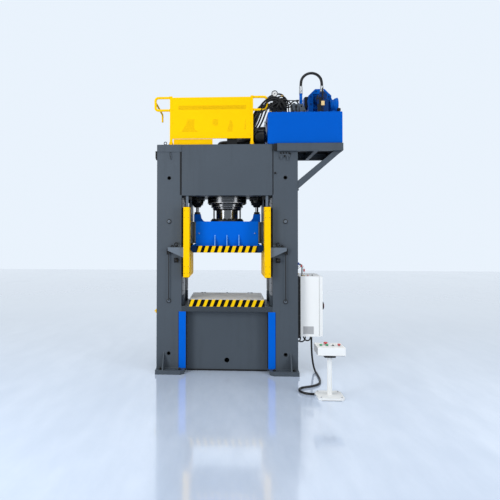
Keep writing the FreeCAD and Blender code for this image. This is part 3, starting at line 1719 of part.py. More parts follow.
def make_back_plate():
    """The mounting plate inside the cabinet, with rails of switchgear."""
    gap = 2 * d.cabinet_rail
    plate_x = cabinet_left + d.cabinet_sheet + d.cabinet_rail / 2
    members = [box("plate", plate_x, plate_x + d.gear_sheet, gap - d.cabinet_front, cabinet_back - gap,
                   d.cabinet_bottom + gap, cabinet_top - gap)]
    for corner_y in (gap * 3 / 2 - d.cabinet_front, cabinet_back - gap * 3 / 2):
        for corner_z in (d.cabinet_bottom + gap * 3 / 2, cabinet_top - gap * 3 / 2):
            members.append(cylinder("standoff", cabinet_left + d.cabinet_sheet, corner_y, corner_z,
                                    d.standoff_radius, d.cabinet_rail / 2, "+X"))
    for row in range(3):
        level = d.cabinet_bottom + gap * (2 + 3.5 * row)
        members.append(box("gear", plate_x + d.gear_sheet, plate_x + d.gear_sheet + d.gear_depth,
                           gap * 2 - d.cabinet_front, cabinet_back - gap * 2, level, level + 1.6 * gap))
    return fused("switchgear_plate", members)


node(make_back_plate(), "switchgear_plate")


def make_cabinet_pipe():
    """The wiring arch from the cabinet's top into the upright's side."""
    x = (cabinet_left + d.arch_inset).number
    y = (d.arch_setback - d.cabinet_front).number
    z = cabinet_top.number
    rise = d.arch_rise.number
    radius = d.arch_radius.number
    points = [
        FreeCAD.Vector(x, y, z), FreeCAD.Vector(x, y, z + rise), FreeCAD.Vector(outer_face.number, y, z + rise)]
    pipe = tube("wiring_arch_pipe", points, radius, [d.arch_bend.number])
    nuts = [cylinder("arch_nut", x, y, z, radius * 1.6, radius),
            cylinder("arch_nut", outer_face.number, y, z + rise, radius * 1.6, radius, "+X")]
    return fused("wiring_arch", [pipe] + nuts)


node(group("frame_wiring", sensor_cables + [make_cabinet_pipe()]), "frame_wiring")


# ---------------------------------------------------------------- control stand

desk_top = d.stand_base_height + d.column_height + d.desk_height
desk_floor = desk_top - d.desk_height
conduit_height = d.conduit_radius + 1


def make_stand():
    """The stand: a hollow foot with cropped corners, a tube and a flange."""
    foot = new_body("stand_foot")
    half = d.stand_base / 2
    cut = d.stand_base_chamfer
    outline = [
        (cut - half, -half), (half - cut, -half), (half, cut - half), (half, half - cut),
        (half - cut, half), (cut - half, half), (-half, half - cut), (-half, cut - half)]
    shape_between(foot, "XY", 0, d.stand_base_height, [outline])
    edge = half - d.foot_hole_edge / 2
    holes = [(x, y, 7) for x in (-edge, edge) for y in (-edge, edge)]
    shape_between(foot, "XY", 0, d.stand_base_height, circles=holes, cut=True)
    column = cylinder("column", 0, 0, d.stand_base_height, d.column_radius, d.column_height)
    flange = cylinder("flange", 0, 0, desk_floor - 18, 2 * d.column_radius, 18)
    gland = cylinder("stand_gland", -half - d.stand_gland_length, d.stand_gland_y, conduit_height,
                     d.conduit_radius, d.stand_gland_length + d.desk_sheet, "+X")
    return place(fused("control_stand", [foot, column, flange, gland]), d.stand_x, d.stand_y)


node(make_stand(), "control_stand")

button_spots = [
    ("left_start_button", -1.5, -0.4), ("right_start_button", -0.5, -0.4), ("mode_selector", 0.5, -0.4),
    ("stop_button", 1.5, -0.4), ("emergency_stop", -0.5, 0.9)]


def make_desk():
    """The desk box, hollow under its face, with one hole for each control."""
    body = new_body("control_desk")
    half_x = d.desk_width / 2
    half_y = d.desk_depth / 2
    shape_between(body, "XY", desk_floor, desk_top, [rectangle(-half_x, half_x, -half_y, half_y)])
    dress(body, "Fillet", 6, lambda edge: runs_along(edge, "z") or middle_of(edge).z > desk_top.number - 1)
    sheet = d.desk_sheet
    inside = rectangle(sheet - half_x, half_x - sheet, sheet - half_y, half_y - sheet)
    shape_between(body, "XY", desk_floor + sheet, desk_top - sheet, [inside], cut=True)
    spots = [(across * d.button_pitch, along * d.button_pitch, d.desk_hole_radius)
             for _, across, along in button_spots]
    shape_between(body, "XY", desk_top - sheet, desk_top, circles=spots, cut=True)
    return place(body, d.stand_x, d.stand_y)


node(make_desk(), "control_desk")


def make_button(name, across, along):
    """A control: stem through the desk's face, collar below, cap above."""
    body = new_body(name)
    radius = d.button_radius
    floor = desk_top - 12 * d.desk_sheet
    shoulder = desk_top - d.desk_sheet - d.sheet_clearance
    rise = d.button_rise
    profile = [
        (0, floor), (radius / 2, floor), (radius / 2, shoulder - 4), (radius * 1.5, shoulder - 4),
        (radius * 1.5, shoulder), (radius, shoulder)]
    if name == "emergency_stop":
        wide = 2.4 * radius
        profile += [
            (radius, desk_top + rise), (wide, desk_top + rise + 4), (wide, desk_top + rise + 14),
            (wide * 0.8, desk_top + rise + 21), (0, desk_top + rise + 24)]
    else:
        profile += [(radius, desk_top + rise - 3), (radius - 3, desk_top + rise), (0, desk_top + rise)]
    turn(body, profile)
    if name == "mode_selector":
        half = radius / 4
        grip = rectangle(-half, half, -radius * 0.9, radius * 0.9)
        shape_between(body, "XY", desk_top + rise - 1, desk_top + 1.8 * rise, [grip])
    return place(body, d.stand_x + across * d.button_pitch, d.stand_y + along * d.button_pitch)


for spot in button_spots:
    node(make_button(*spot), spot[0])


# ---------------------------------------------------------------- floor conduit

conduit = d.conduit_radius.number
low = conduit_height.number
cord("floor_conduit", [
    (gland_x.number, gland_y.number, (d.cabinet_bottom - d.gland_length).number),
    (1715, -250, 500),
    (1722, -255, 300),
    (1738, -290, 130),
    (1750, -420, low + 3),
    (1757, -620, low),
    (1755, -860, low),
    (1740, -1120, low),
    (1695, -1310, low),
    (1604, -1430, low),
    (1496, -1508, low),
    (1357, -1565, low),
    (1300, -1622, low),
    (1270, -1695, low),
    (1270, -1775, low),
    (1300, -1848, low),
    (1357, -1905, low),
    (1430, -1935, low),
    ((d.stand_x - d.stand_base / 2 - d.stand_gland_length).number, (d.stand_y + d.stand_gland_y).number, low),
], conduit)


# ---------------------------------------------------------------- lifting eyes and export

def make_eyebolt(side):
    """A lifting eye screwed into the upright's cap."""
    x = side * (outer_face - d.foot_hole_edge - d.bracket_tip)
    collar = cylinder("eye_collar", x, front_face + d.foot_hole_edge, d.frame_height, 24, 12)
    ring = DOC.addObject("Part::Torus", "eye_ring")
    ring.Radius1 = 27
    ring.Radius2 = 8
    place(ring, x, front_face + d.foot_hole_edge, d.frame_height + 43, TURNS["-Y"])
    return fused("eyebolt", [collar, ring])


node(group("lifting_eyebolts", [make_eyebolt(-1)]), "lifting_eyebolts")


def export_nodes():
    """Check every object, then write one STEP file for each sub-part."""
    DOC.recompute()
    failed = [item.Name for item in DOC.Objects if "Invalid" in item.State or "Error" in item.State]
    if failed:
        raise RuntimeError("failed objects: " + ", ".join(failed))
    for item in NODES:
        if item.Shape.isNull() or not item.Shape.isValid():
            raise RuntimeError("bad shape: " + item.Label)
    os.makedirs("parts", exist_ok=True)
    for item in NODES:
        item.Shape.exportStep("parts/" + item.Label + ".step")
    print("%d sub-parts written" % len(NODES))


export_nodes()
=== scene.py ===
import random
from itertools import product
from math import cos, pi, radians, sin, sqrt, tan

import bmesh
import bpy
from mathutils import Matrix, Vector


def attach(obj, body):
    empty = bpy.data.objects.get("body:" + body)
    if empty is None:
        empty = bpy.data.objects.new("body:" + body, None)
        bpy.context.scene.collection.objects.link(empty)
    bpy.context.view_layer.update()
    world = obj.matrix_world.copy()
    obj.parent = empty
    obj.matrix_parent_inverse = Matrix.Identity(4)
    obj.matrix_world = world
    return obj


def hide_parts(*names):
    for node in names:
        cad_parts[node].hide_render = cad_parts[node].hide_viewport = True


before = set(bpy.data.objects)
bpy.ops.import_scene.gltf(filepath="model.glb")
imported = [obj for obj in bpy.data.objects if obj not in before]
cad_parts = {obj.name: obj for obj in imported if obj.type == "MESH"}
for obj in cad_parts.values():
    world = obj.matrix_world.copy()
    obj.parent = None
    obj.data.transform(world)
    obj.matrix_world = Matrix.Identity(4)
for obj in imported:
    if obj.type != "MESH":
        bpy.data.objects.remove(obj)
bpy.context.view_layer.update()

random.seed(7)
SCENE = bpy.context.scene
MM = 0.001  # one millimetre, in metres
SIDES = (-1, 1)
MOTOR = (1910, 5500)  # x and z of the shaft, in millimetres
GREY = (0.055, 0.069, 0.085)
BLUE = (0.0002, 0.105, 0.56)
YELLOW = (0.88, 0.52, 0.0006)
PALE = (0.80, 0.815, 0.81)
DARK = (0.0045, 0.005, 0.0055)
MATERIALS = {}


# ---------------- node trees and materials, in metres

class Nodes:
    """Short ways to make and join the nodes of one tree."""

    def __init__(self, tree):
        self.tree = tree
        tree.nodes.clear()

    def feed(self, socket, value):
        """Link another node's output to a socket or set its value; a colour comes without alpha."""
        if isinstance(value, bpy.types.NodeSocket):
            self.tree.links.new(value, socket)
        else:
            socket.default_value = (*value, 1) if socket.type == "RGBA" else value

    def node(self, kind, given=None, **settings):
        item = self.tree.nodes.new("ShaderNode" + kind)
        for key, value in settings.items():
            setattr(item, key, value)
        for key, value in (given or {}).items():
            self.feed(item.inputs[key], value)
        return item

    def math(self, operation, first, second=0.0, third=0.0):
        return self.node("Math", {0: first, 1: second, 2: third}, operation=operation).outputs[0]

    def times(self, first, second):
        return self.math("MULTIPLY", first, second)

    def plus(self, first, second):
        return self.math("ADD", first, second)

    def minus(self, first, second):
        return self.math("SUBTRACT", first, second)

    def near(self, value, middle, reach):
        """One where the value is less than reach from the middle."""
        return self.math("LESS_THAN", self.math("ABSOLUTE", self.minus(value, middle)), reach)


class Recipe(Nodes):
    """A node material under construction."""

    def __init__(self, name):
        MATERIALS[name] = self.material = bpy.data.materials.new(name)
        self.material.use_nodes = True
        super().__init__(self.material.node_tree)
        self.where = self.node("TexCoord").outputs["Object"]

    def scaled(self, factors):
        return self.node("VectorMath", {0: self.where, 1: factors}, operation="MULTIPLY").outputs[0]

    def noise(self, scale, detail=3.0, rough=0.55, where=None):
        given = {"Vector": where or self.where, "Scale": scale, "Detail": detail, "Roughness": rough}
        return self.node("TexNoise", given).outputs["Fac"]

    def span(self, value, low, high, to_low=0.0, to_high=1.0):
        given = {"Value": value, "From Min": low, "From Max": high, "To Min": to_low, "To Max": to_high}
        return self.node("MapRange", given).outputs[0]

    def mix(self, factor, first, second, blend="MIX"):
        given = {0: factor, 6: first, 7: second}
        return self.node("Mix", given, data_type="RGBA", blend_type=blend).outputs[2]

    def axes(self):
        return self.node("SeparateXYZ", {0: self.where}).outputs

    def rounded(self, radius):
        return self.node("Bevel", {"Radius": radius}, samples=4).outputs[0]

    def facing(self, direction):
        """How far a direction agrees with the face's own normal."""
        flat = self.node("NewGeometry").outputs["True Normal"]
        return self.node("VectorMath", {0: direction, 1: flat}, operation="DOT_PRODUCT").outputs["Value"]

    def faces(self, axis):
        """One where the surface looks along the given axis, nought elsewhere."""
        return self.math("GREATER_THAN", self.facing(axis), 0.9)

    def worn_highlit_edges(self, edge_wear_and_highlight):
        """Sharp edges recoloured in broken patches: partly edge wear, partly a painted highlight, since most
        paints turn lighter there.
        """
        edges = self.span(self.facing(self.rounded(0.004)), 0.995, 0.86)
        return self.times(self.times(edges, self.span(self.noise(22.0, 5, 0.7), 0.50, 0.62)), edge_wear_and_highlight)

    def peel(self):
        """The height of sprayed paint: orange peel on slow waves."""
        return self.math("MULTIPLY_ADD", self.noise(7.0, 2), 3.0, self.noise(260.0, 2))

    def done(self, colour, rough, height, strength, distance, radius=None, **fixed):
        """Close the material; a fixed value goes on the shader's own socket."""
        bump = self.node("Bump", {"Height": height, "Strength": strength, "Distance": distance})
        if radius:
            self.feed(bump.inputs["Normal"], self.rounded(radius))
        shader = self.node("BsdfPrincipled", {
            "Base Color": colour, "Roughness": rough, "Normal": bump.outputs[0]})
        for key, value in fixed.items():
            shader.inputs[key.replace("_", " ")].default_value = value
        self.node("OutputMaterial", {"Surface": shader.outputs[0]})
        return self.material


def shade(colour, factor):
    return tuple(min(1.0, part * factor) for part in colour)


def painted_colour(mat, colour, worn_highlit_colour, edge_wear_and_highlight, drift):
    """Paint with slow tone drift, faint mottling, and rubbed edges that are partly wear and partly a painted
    highlight.
    """
    slow = mat.span(mat.noise(0.8, 3), 0.3, 0.7)
    fine = mat.span(mat.noise(14.0, 4), 0.3, 0.7)
    body = mat.mix(slow, shade(colour, 1 - drift), shade(colour, 1 + drift))
    body = mat.mix(mat.times(fine, 0.5), body, shade(colour, 1 - drift * 0.6))
    return mat.mix(mat.worn_highlit_edges(edge_wear_and_highlight), body, worn_highlit_colour), slow, fine


def paint(name, colour, worn_highlit_colour, rough=0.42, level=0.35, edge_wear_and_highlight=0.5, drift=0.07, radius=0.004, streak=0.0):
    """Sprayed paint; streak adds faint runs of oil and dust down the faces."""
    mat = Recipe(name)
    body, slow, fine = painted_colour(mat, colour, worn_highlit_colour, edge_wear_and_highlight, drift)
    if streak:
        runs = mat.span(mat.noise(5.0, 5, 0.65, mat.scaled((1.0, 1.0, 0.06))), 0.52, 0.72)
        body = mat.mix(mat.times(runs, streak), body, shade(colour, 0.62))
    gloss = mat.plus(mat.span(fine, 0, 1, rough - 0.05, rough + 0.06), mat.span(slow, 0, 1, -0.03, 0.03))
    mat.done(body, gloss, mat.peel(), 0.12, 0.0006, radius, Specular_IOR_Level=level)


def steel(name, colour, rough, grain=(1.0, 60.0, 60.0), level=0.06, streak=0.12, radius=0.002):
    """Machined or plated metal with a directional grain."""
    mat = Recipe(name)
    lines = mat.noise(14.0, 4, 0.6, mat.scaled(grain))
    patches = mat.span(mat.noise(3.0, 3), 0.35, 0.65)
    body = mat.mix(patches, shade(colour, 1 - streak), shade(colour, 1 + streak * 0.5))
    body = mat.mix(mat.span(lines, 0.35, 0.7, 0.0, 0.5), body, shade(colour, 1 - streak * 2))
    sheen = mat.span(lines, 0.3, 0.7, rough - level, rough + level)
    gloss = mat.plus(sheen, mat.span(patches, 0, 1, -0.03, 0.04))
    mat.done(body, gloss, lines, 0.10, 0.0004, radius, Metallic=1.0)


def black(name, colour, rough, scale=90.0, level=0.4, dust=0.25, strength=0.15):
    """Rubber or moulded plastic with a light bloom of dust."""
    mat = Recipe(name)
    cloud = mat.span(mat.noise(6.0, 4), 0.42, 0.68)
    grain = mat.noise(scale * 4, 3)
    body = mat.mix(mat.times(cloud, dust), colour, shade(colour, 2.4))
    sheen = mat.span(cloud, 0, 1, rough - 0.05, rough + 0.08)
    gloss = mat.plus(sheen, mat.span(grain, 0.3, 0.7, -0.04, 0.04))
    mat.done(body, gloss, grain, strength, 0.0005, 0.0015, Specular_IOR_Level=level)


def hazard(name, start, count, period, share, slant):
    """Yellow bars on black that lean to the right, counted from the first bar's lower left corner (x, z)."""
    yellow, dark = (0.86, 0.54, 0.002), (0.003, 0.003, 0.0035)
    mat = Recipe(name)
    x, _, z = mat.axes()
    rise = mat.times(mat.minus(z, start[1]), tan(radians(slant)))
    wobble = mat.span(mat.noise(120.0, 2), 0.3, 0.7, -0.0008, 0.0008)
    steps = mat.math("DIVIDE", mat.plus(mat.minus(mat.minus(x, start[0]), rise), wobble), period)
    bar = mat.math("LESS_THAN", mat.math("FRACT", steps), share)
    bar = mat.times(bar, mat.near(steps, count / 2, count / 2))
    scuff = mat.span(mat.noise(9.0, 5, 0.7), 0.60, 0.72)
    chip = mat.times(mat.span(mat.noise(55.0, 5, 0.75), 0.63, 0.67), 0.8)
    yellow_paint = mat.mix(mat.span(mat.noise(3.0, 3), 0.3, 0.7), yellow, shade(yellow, 0.9))
    bars = mat.mix(bar, mat.mix(scuff, dark, shade(dark, 2.2)), mat.mix(chip, yellow_paint, dark))
    # Edges go grey in broken patches: partly wear, partly a painted highlight on the dark bars.
    bars = mat.mix(mat.worn_highlit_edges(0.5), bars, (0.25, 0.25, 0.25))
    height = mat.plus(mat.noise(260.0, 2), mat.times(bar, 0.4))
    mat.done(bars, mat.span(scuff, 0, 1, 0.42, 0.50), height, 0.12, 0.0006, 0.002, Specular_IOR_Level=0.06)


def tank_paint(name, colour):
    """Blue paint whose downward faces are painted near black as shade."""
    mat = Recipe(name)
    body, _, fine = painted_colour(mat, colour, (0.02, 0.16, 0.52), 0.5, 0.04)
    # Painted shade: faces that look down turn near black.
    body = mat.mix(mat.faces((0.0, 0.0, -1.0)), body, (0.006, 0.007, 0.008))
    mat.done(body, mat.span(fine, 0, 1, 0.40, 0.50), mat.peel(), 0.12, 0.0006, 0.004, Specular_IOR_Level=0.04)


def ground_steel(name):
    """The bolster: ground steel with cutter marks and oil stains."""
    mat = Recipe(name)
    lines = mat.noise(9.0, 4, 0.6, mat.scaled((1.0, 26.0, 26.0)))
    stains = mat.span(mat.noise(2.4, 5, 0.6), 0.40, 0.66)
    body = mat.mix(mat.span(lines, 0.35, 0.7), (0.54, 0.54, 0.53), (0.68, 0.68, 0.67))
    body = mat.mix(mat.times(stains, 0.4), body, (0.47, 0.46, 0.44))
    gloss = mat.plus(mat.span(lines, 0.3, 0.7, 0.38, 0.50), mat.times(stains, 0.08))
    mat.done(body, gloss, lines, 0.10, 0.0004, 0.003, Specular_IOR_Level=0.4)


def perforated(name):
    """Yellow sheet with a punched row and faint punched patches, as dots of shadow."""
    mat = Recipe(name)
    body, _, fine = painted_colour(mat, YELLOW, (0.50, 0.33, 0.03), 0.4, 0.05)
    x, _, z = mat.axes()
    pitch = 0.016

    def cell(value):
        part = mat.minus(mat.math("FRACT", mat.math("DIVIDE", mat.plus(value, 40 * pitch), pitch)), 0.5)
        return mat.times(part, part)

    dot = mat.math("LESS_THAN", mat.plus(cell(x), cell(z)), 0.100)
    inside = mat.near(x, -0.302, 0.68)
    row = mat.times(mat.near(z, 5.292, 0.042), inside)
    patch = mat.math("GREATER_THAN", mat.noise(3.4, 1, 0.5, mat.scaled((1.0, 0.0, 0.6))), 0.56)
    patch = mat.times(mat.times(mat.near(z, 4.925, 0.13), patch), inside)
    shown = mat.times(dot, mat.math("MAXIMUM", mat.times(row, 0.9), mat.times(patch, 0.65)))
    shown = mat.times(shown, mat.faces((0.0, -1.0, 0.0)))
    body = mat.mix(shown, body, (0.20, 0.115, 0.004))
    height = mat.minus(mat.times(mat.noise(200.0, 2), 0.4), shown)
    mat.done(body, mat.span(fine, 0, 1, 0.42, 0.52), height, 0.15, 0.0008, 0.003, Specular_IOR_Level=0.05)


def make_materials():
    # Each paint's third colour is its edge colour: worn paint, and for most paints also a lighter painted
    # highlight.
    paint("grey_paint", GREY, (0.16, 0.18, 0.20), 0.46, 0.28, streak=0.35)
    paint("bracket_paint", (0.105, 0.130, 0.160), (0.2, 0.22, 0.24), 0.42, 0.4)
    paint("blue_paint", BLUE, (0.02, 0.16, 0.56), 0.45, 0.04, drift=0.04)
    tank_paint("tank_blue", shade(BLUE, 0.82))
    paint("motor_blue", (0.0003, 0.088, 0.42), (0.03, 0.14, 0.42), 0.38, 0.06)
    paint("deep_blue", (0.0005, 0.026, 0.125), (0.02, 0.08, 0.24), 0.45, 0.12)
    paint("yellow_paint", YELLOW, (0.50, 0.31, 0.01), 0.48, 0.05, drift=0.05)
    perforated("perforated_yellow")
    paint("light_grey_paint", PALE, (0.45, 0.46, 0.47), 0.45, 0.3, 0.3, 0.03, 0.003)
    paint("black_steel", DARK, (0.07, 0.07, 0.07), 0.40, 0.25, 0.6, 0.2, 0.003)
    steel("machined_steel", (0.33, 0.33, 0.33), 0.40)
    steel("zinc_steel", (0.42, 0.43, 0.44), 0.36, (20.0, 20.0, 20.0))
    # The hard chrome's streaks run along the rod: partly polish marks, partly painted reflection bands.
    steel("hard_chrome", (0.140, 0.144, 0.150), 0.17, (26.0, 26.0, 0.4), 0.05, 0.10)
    steel("turned_black", (0.064, 0.067, 0.071), 0.18, (8.0, 8.0, 60.0), 0.05, 0.12, 0.004)
    black("hose_rubber", (0.0035, 0.0035, 0.004), 0.42, level=0.28, dust=0.15)
    black("black_plastic", (0.005, 0.005, 0.0055), 0.42, 60.0, 0.25)
    black("green_plastic", (0.020, 0.32, 0.120), 0.34, 40.0, 0.5, 0.1, 0.05)
    black("red_plastic", (0.50, 0.010, 0.012), 0.34, 40.0, 0.5, 0.1, 0.05)
    black("blue_plastic", (0.010, 0.055, 0.30), 0.34, 40.0, 0.5, 0.1, 0.05)
    black("white_plastic", (0.70, 0.71, 0.71), 0.40, 40.0, 0.4, 0.02, 0.04)
    black("amber_window", (0.56, 0.20, 0.002), 0.22, 40.0, 0.5, 0.05, 0.04)
    black("tag_cream", (0.66, 0.47, 0.22), 0.5, 40.0, 0.3, 0.1, 0.04)
    paint("vent_grey", (0.42, 0.43, 0.44), (0.3, 0.3, 0.3), 0.5, 0.2, 0.3, 0.05, 0.001)
    steel("brass", (0.60, 0.40, 0.14), 0.30, (20.0, 20.0, 20.0))
    # A pale blue that paints the highlight on the slider's rib edges.
    paint("highlight_blue", (0.20, 0.50, 0.95), (0.3, 0.5, 0.8), 0.45, 0.1)
    paint("ledge_grey", shade(GREY, 0.60), (0.13, 0.15, 0.17), 0.46, 0.28, streak=0.35)
    # A much darker copy of the blue paint: painted shade on the slider plate's chamfered ends.
    paint("shaded_plate_blue", (0.002, 0.018, 0.070), (0.05, 0.16, 0.42), 0.42, 0.1)
    ground_steel("ground_steel")
    hazard("slider_warning", (-0.601, 2.370), 9, 0.1355, 0.50, 18)
    hazard("bolster_warning", (-0.754, 1.300), 11, 0.1373, 0.45, 21)


NODE_FINISH = {
    "slider_plate": "shaded_plate_blue", "bolster": "ground_steel", "bell_housing": "deep_blue",
    "main_cylinder": "turned_black", "gland_ring": "turned_black", "tank": "tank_blue",
    "tank_lid": "tank_blue", "motor": "motor_blue", "motor_fan_cowl": "motor_blue",
    "riser_pipe": "motor_blue", "filter_motor": "motor_blue", "curtain_brackets": "bracket_paint",
    "guard_panel": "perforated_yellow"}


def dress_nodes():
    """Every carried-over node gets the procedural finish of its own slot, or its own variant of it."""
    for name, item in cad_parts.items():
        for slot in item.material_slots:
            key = slot.material.name.split(".")[0] if slot.material else "grey_paint"
            slot.material = MATERIALS[NODE_FINISH.get(name, key)]


# ---------------- camera, light and floor, in metres

def add(name, data):
    item = bpy.data.objects.new(name, data)
    SCENE.collection.objects.link(item)
    return item


def make_camera():
    data = bpy.data.cameras.new("view")
    data.lens, data.sensor_width = 36.73, 36.0
    data.shift_x, data.shift_y = 0.094, -0.0534
    data.clip_end = 200.0
    yaw, pitch, roll = radians(3.01), radians(1.21), radians(0.09)
    forward = Vector((-sin(yaw) * cos(pitch), cos(yaw) * cos(pitch), sin(pitch)))
    turned = forward.to_track_quat("-Z", "Y").to_matrix() @ Matrix.Rotation(roll, 3, "Z")
    SCENE.camera = add("view", data)
    SCENE.camera.matrix_world = Matrix.Translation((0.058, -10.767, 2.739)) @ turned.to_4x4()


def lamp(name, place, target, width, height, power):
    data = bpy.data.lights.new(name, "AREA")
    data.shape = "RECTANGLE"
    data.size, data.size_y, data.energy = width, height, power
    item = add(name, data)
    item.location = place
    item.rotation_euler = (Vector(target) - Vector(place)).to_track_quat("-Z", "Y").to_euler()


def make_world():
    """Soft light on the object; camera, glossy and transmission rays see a pale backdrop."""
    SCENE.world = world = bpy.data.worlds.new("studio")
    world.use_nodes = True
    web = Nodes(world.node_tree)
    ray = web.node("LightPath").outputs
    seen = web.math("MAXIMUM", ray["Is Camera Ray"], ray["Is Glossy Ray"])
    seen = web.math("MAXIMUM", seen, ray["Is Transmission Ray"])
    soft = web.node("Background", {"Color": (0.93, 0.96, 1.0), "Strength": 0.54}).outputs[0]
    pale = web.node("Background", {"Color": (0.82, 0.895, 0.98), "Strength": 1.0}).outputs[0]
    mixed = web.node("MixShader", {0: seen, 1: soft, 2: pale}).outputs[0]
    web.node("OutputWorld", {0: mixed})


def make_floor():
    """A pale polished floor whose far edge lies where the photograph has its horizon."""
    front, back, half = -20.0, 28.2, 60.0
    data = bpy.data.meshes.new("studio_floor")
    corners = [(-half, front, 0), (half, front, 0), (half, back, 0), (-half, back, 0)]
    data.from_pydata(corners, [], [(0, 1, 2, 3)])
    item = add("studio_floor", data)
    item.location.z = -MM
    mat = Recipe("studio_floor")
    cloud = mat.span(mat.noise(0.35, 4, 0.6, mat.scaled((1.0, 0.35, 1.0))), 0.35, 0.65)
    fine = mat.span(mat.noise(3.0, 4, 0.6, mat.scaled((1.0, 0.3, 1.0))), 0.35, 0.65)
    body = mat.mix(cloud, (0.50, 0.60, 0.76), (0.66, 0.76, 0.92))
    body = mat.mix(mat.times(fine, 0.35), body, (0.46, 0.56, 0.72))
    body = mat.mix(1.0, body, (0.99, 0.99, 0.99), "MULTIPLY")
    # Painted light: the floor turns lighter and bluer towards the back.
    body = mat.mix(mat.span(mat.axes()[1], -2.0, 9.0, 0.0, 0.72), body, (0.78, 0.87, 1.0))
    gloss = mat.plus(mat.span(cloud, 0, 1, 0.08, 0.14), mat.span(fine, 0, 1, 0.0, 0.03))
    data.materials.append(mat.done(body, gloss, mat.noise(2.0, 3), 0.05, 0.01, Specular_IOR_Level=1.0,
                                   Coat_Weight=0.7, Coat_Roughness=0.07))


# ---------------- cords, in metres

def free_cord(name, node_name, points, radius, **facts):
    data = bpy.data.curves.new(name, "CURVE")
    data.dimensions = "3D"
    data.bevel_depth, data.bevel_resolution = radius, 5
    data.resolution_u = 12
    data.use_fill_caps = True
    line = data.splines.new("NURBS")
    line.points.add(len(points) - 1)
    for spot, point in zip(line.points, points):
        spot.co = (*point, 1.0)
    line.order_u = 3
    line.use_endpoint_u = True
    item = add(name, data)
    data.materials.append(MATERIALS["hose_rubber"])
    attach(item, "frame")
    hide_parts(node_name)


PORT_Z = 5.3325
# rise of the port, reach of the bend, rise of the lower end, length
HOSES = (
    (0, 0, 0, 1.104), (0.030, -0.055, 0.025, 1.117), (-0.020, 0.020, -0.015, 1.099),
    (0.018, -0.025, 0.030, 1.095), (-0.010, 0.040, -0.005, 1.101), (0.034, -0.040, 0.020, 1.122),
    (0.008, 0.005, 0.005, 1.107))


def make_cords():
    for row, (lift, reach, land, length) in enumerate(HOSES):
        y = -0.466 + row * 0.0325
        points = [
            (0.865, y, PORT_Z + lift), (0.765, y, PORT_Z + lift), (0.680, y, PORT_Z + lift - 0.036),
            (0.616 + reach / 2, y, PORT_Z + lift - 0.102), (0.548 + reach, y, PORT_Z - 0.272),
            (0.492 + reach, y, PORT_Z - 0.452), (0.443 + reach / 2, y, 4.718 + land),
            (0.382, y, 4.645 + land), (0.296, y, 4.605 + land), (0.200, y, 4.605 + land)]
        free_cord("crown_hose_line_%d" % (row + 1), "crown_hose_%d" % (row % 3 + 1), points, 0.016,
                  length=length, stiffness="stiff", lay="hanging")
    run = 2 * 0.210 * tan(radians(15))
    points, heading = [(1.910, -0.425, 5.726)], radians(90)
    for _ in range(7):
        x, y, z = points[-1]
        points.append((x + run * cos(heading), y, z + run * sin(heading)))
        heading += radians(30)
    free_cord("pressure_hose_line", "pressure_hose", points, 0.027,
              length=0.774, stiffness="stiff", lay="loose")
    points = [
        (1.715, -0.250, 0.655), (1.715, -0.250, 0.500), (1.722, -0.255, 0.300), (1.738, -0.290, 0.130),
        (1.750, -0.420, 0.023), (1.757, -0.620, 0.020), (1.755, -0.860, 0.020), (1.740, -1.120, 0.020),
        (1.695, -1.310, 0.020), (1.604, -1.430, 0.020), (1.496, -1.508, 0.020), (1.357, -1.565, 0.020),
        (1.300, -1.622, 0.020), (1.270, -1.695, 0.020), (1.270, -1.775, 0.020), (1.300, -1.848, 0.020),
        (1.357, -1.905, 0.020), (1.430, -1.935, 0.020), (1.510, -1.935, 0.020)]
    free_cord("floor_conduit_line", "floor_conduit", points, 0.019,
              length=2.564, stiffness="medium", lay="loose")


# ---------------- mesh pieces, in millimetres

TURN = {
    "Z": Matrix.Identity(4), "-Z": Matrix.Rotation(pi, 4, "X"),
    "-Y": Matrix.Rotation(pi / 2, 4, "X"), "Y": Matrix.Rotation(-pi / 2, 4, "X"),
    "X": Matrix.Rotation(pi / 2, 4, "Y"), "-X": Matrix.Rotation(-pi / 2, 4, "Y")}


def each(places):
    """One place, or every place of a list."""
    return [places] if isinstance(places[0], (int, float)) else places


def both(*values):
    """Each value mirrored to the left, then each as it is."""
    return tuple(side * value for side in SIDES for value in values)


def grid(*axes):
    """Every place on a grid; each axis has one number or several, and the last changes fastest."""
    return list(product(*((axis,) if isinstance(axis, (int, float)) else axis for axis in axes)))


def around(count, radius, centre, start=0.0, plane="XY"):
    """Places on a circle about the centre."""
    places = []
    for k in range(count):
        angle = start + 2 * pi * k / count
        place = dict(zip("XYZ", centre))
        place[plane[0]] += radius * cos(angle)
        place[plane[1]] += radius * sin(angle)
        places.append(tuple(place.values()))
    return places


def away(value, axis):
    """The axis's direction that leads away from nought on the value's side."""
    return "-" + axis if value < 0 else axis


def smooth(points, steps=6):
    """Points along the quadratic curve that the given points control."""
    points = [Vector(point) for point in points]
    line = [points[0]]
    for index in range(1, len(points) - 1):
        start = points[0] if index == 1 else (points[index - 1] + points[index]) / 2
        end = points[-1] if index == len(points) - 2 else (points[index] + points[index + 1]) / 2
        for step in range(1, steps + 1):
            t = step / steps
            line.append(start * (1 - t) ** 2 + points[index] * 2 * t * (1 - t) + end * t * t)
    return line


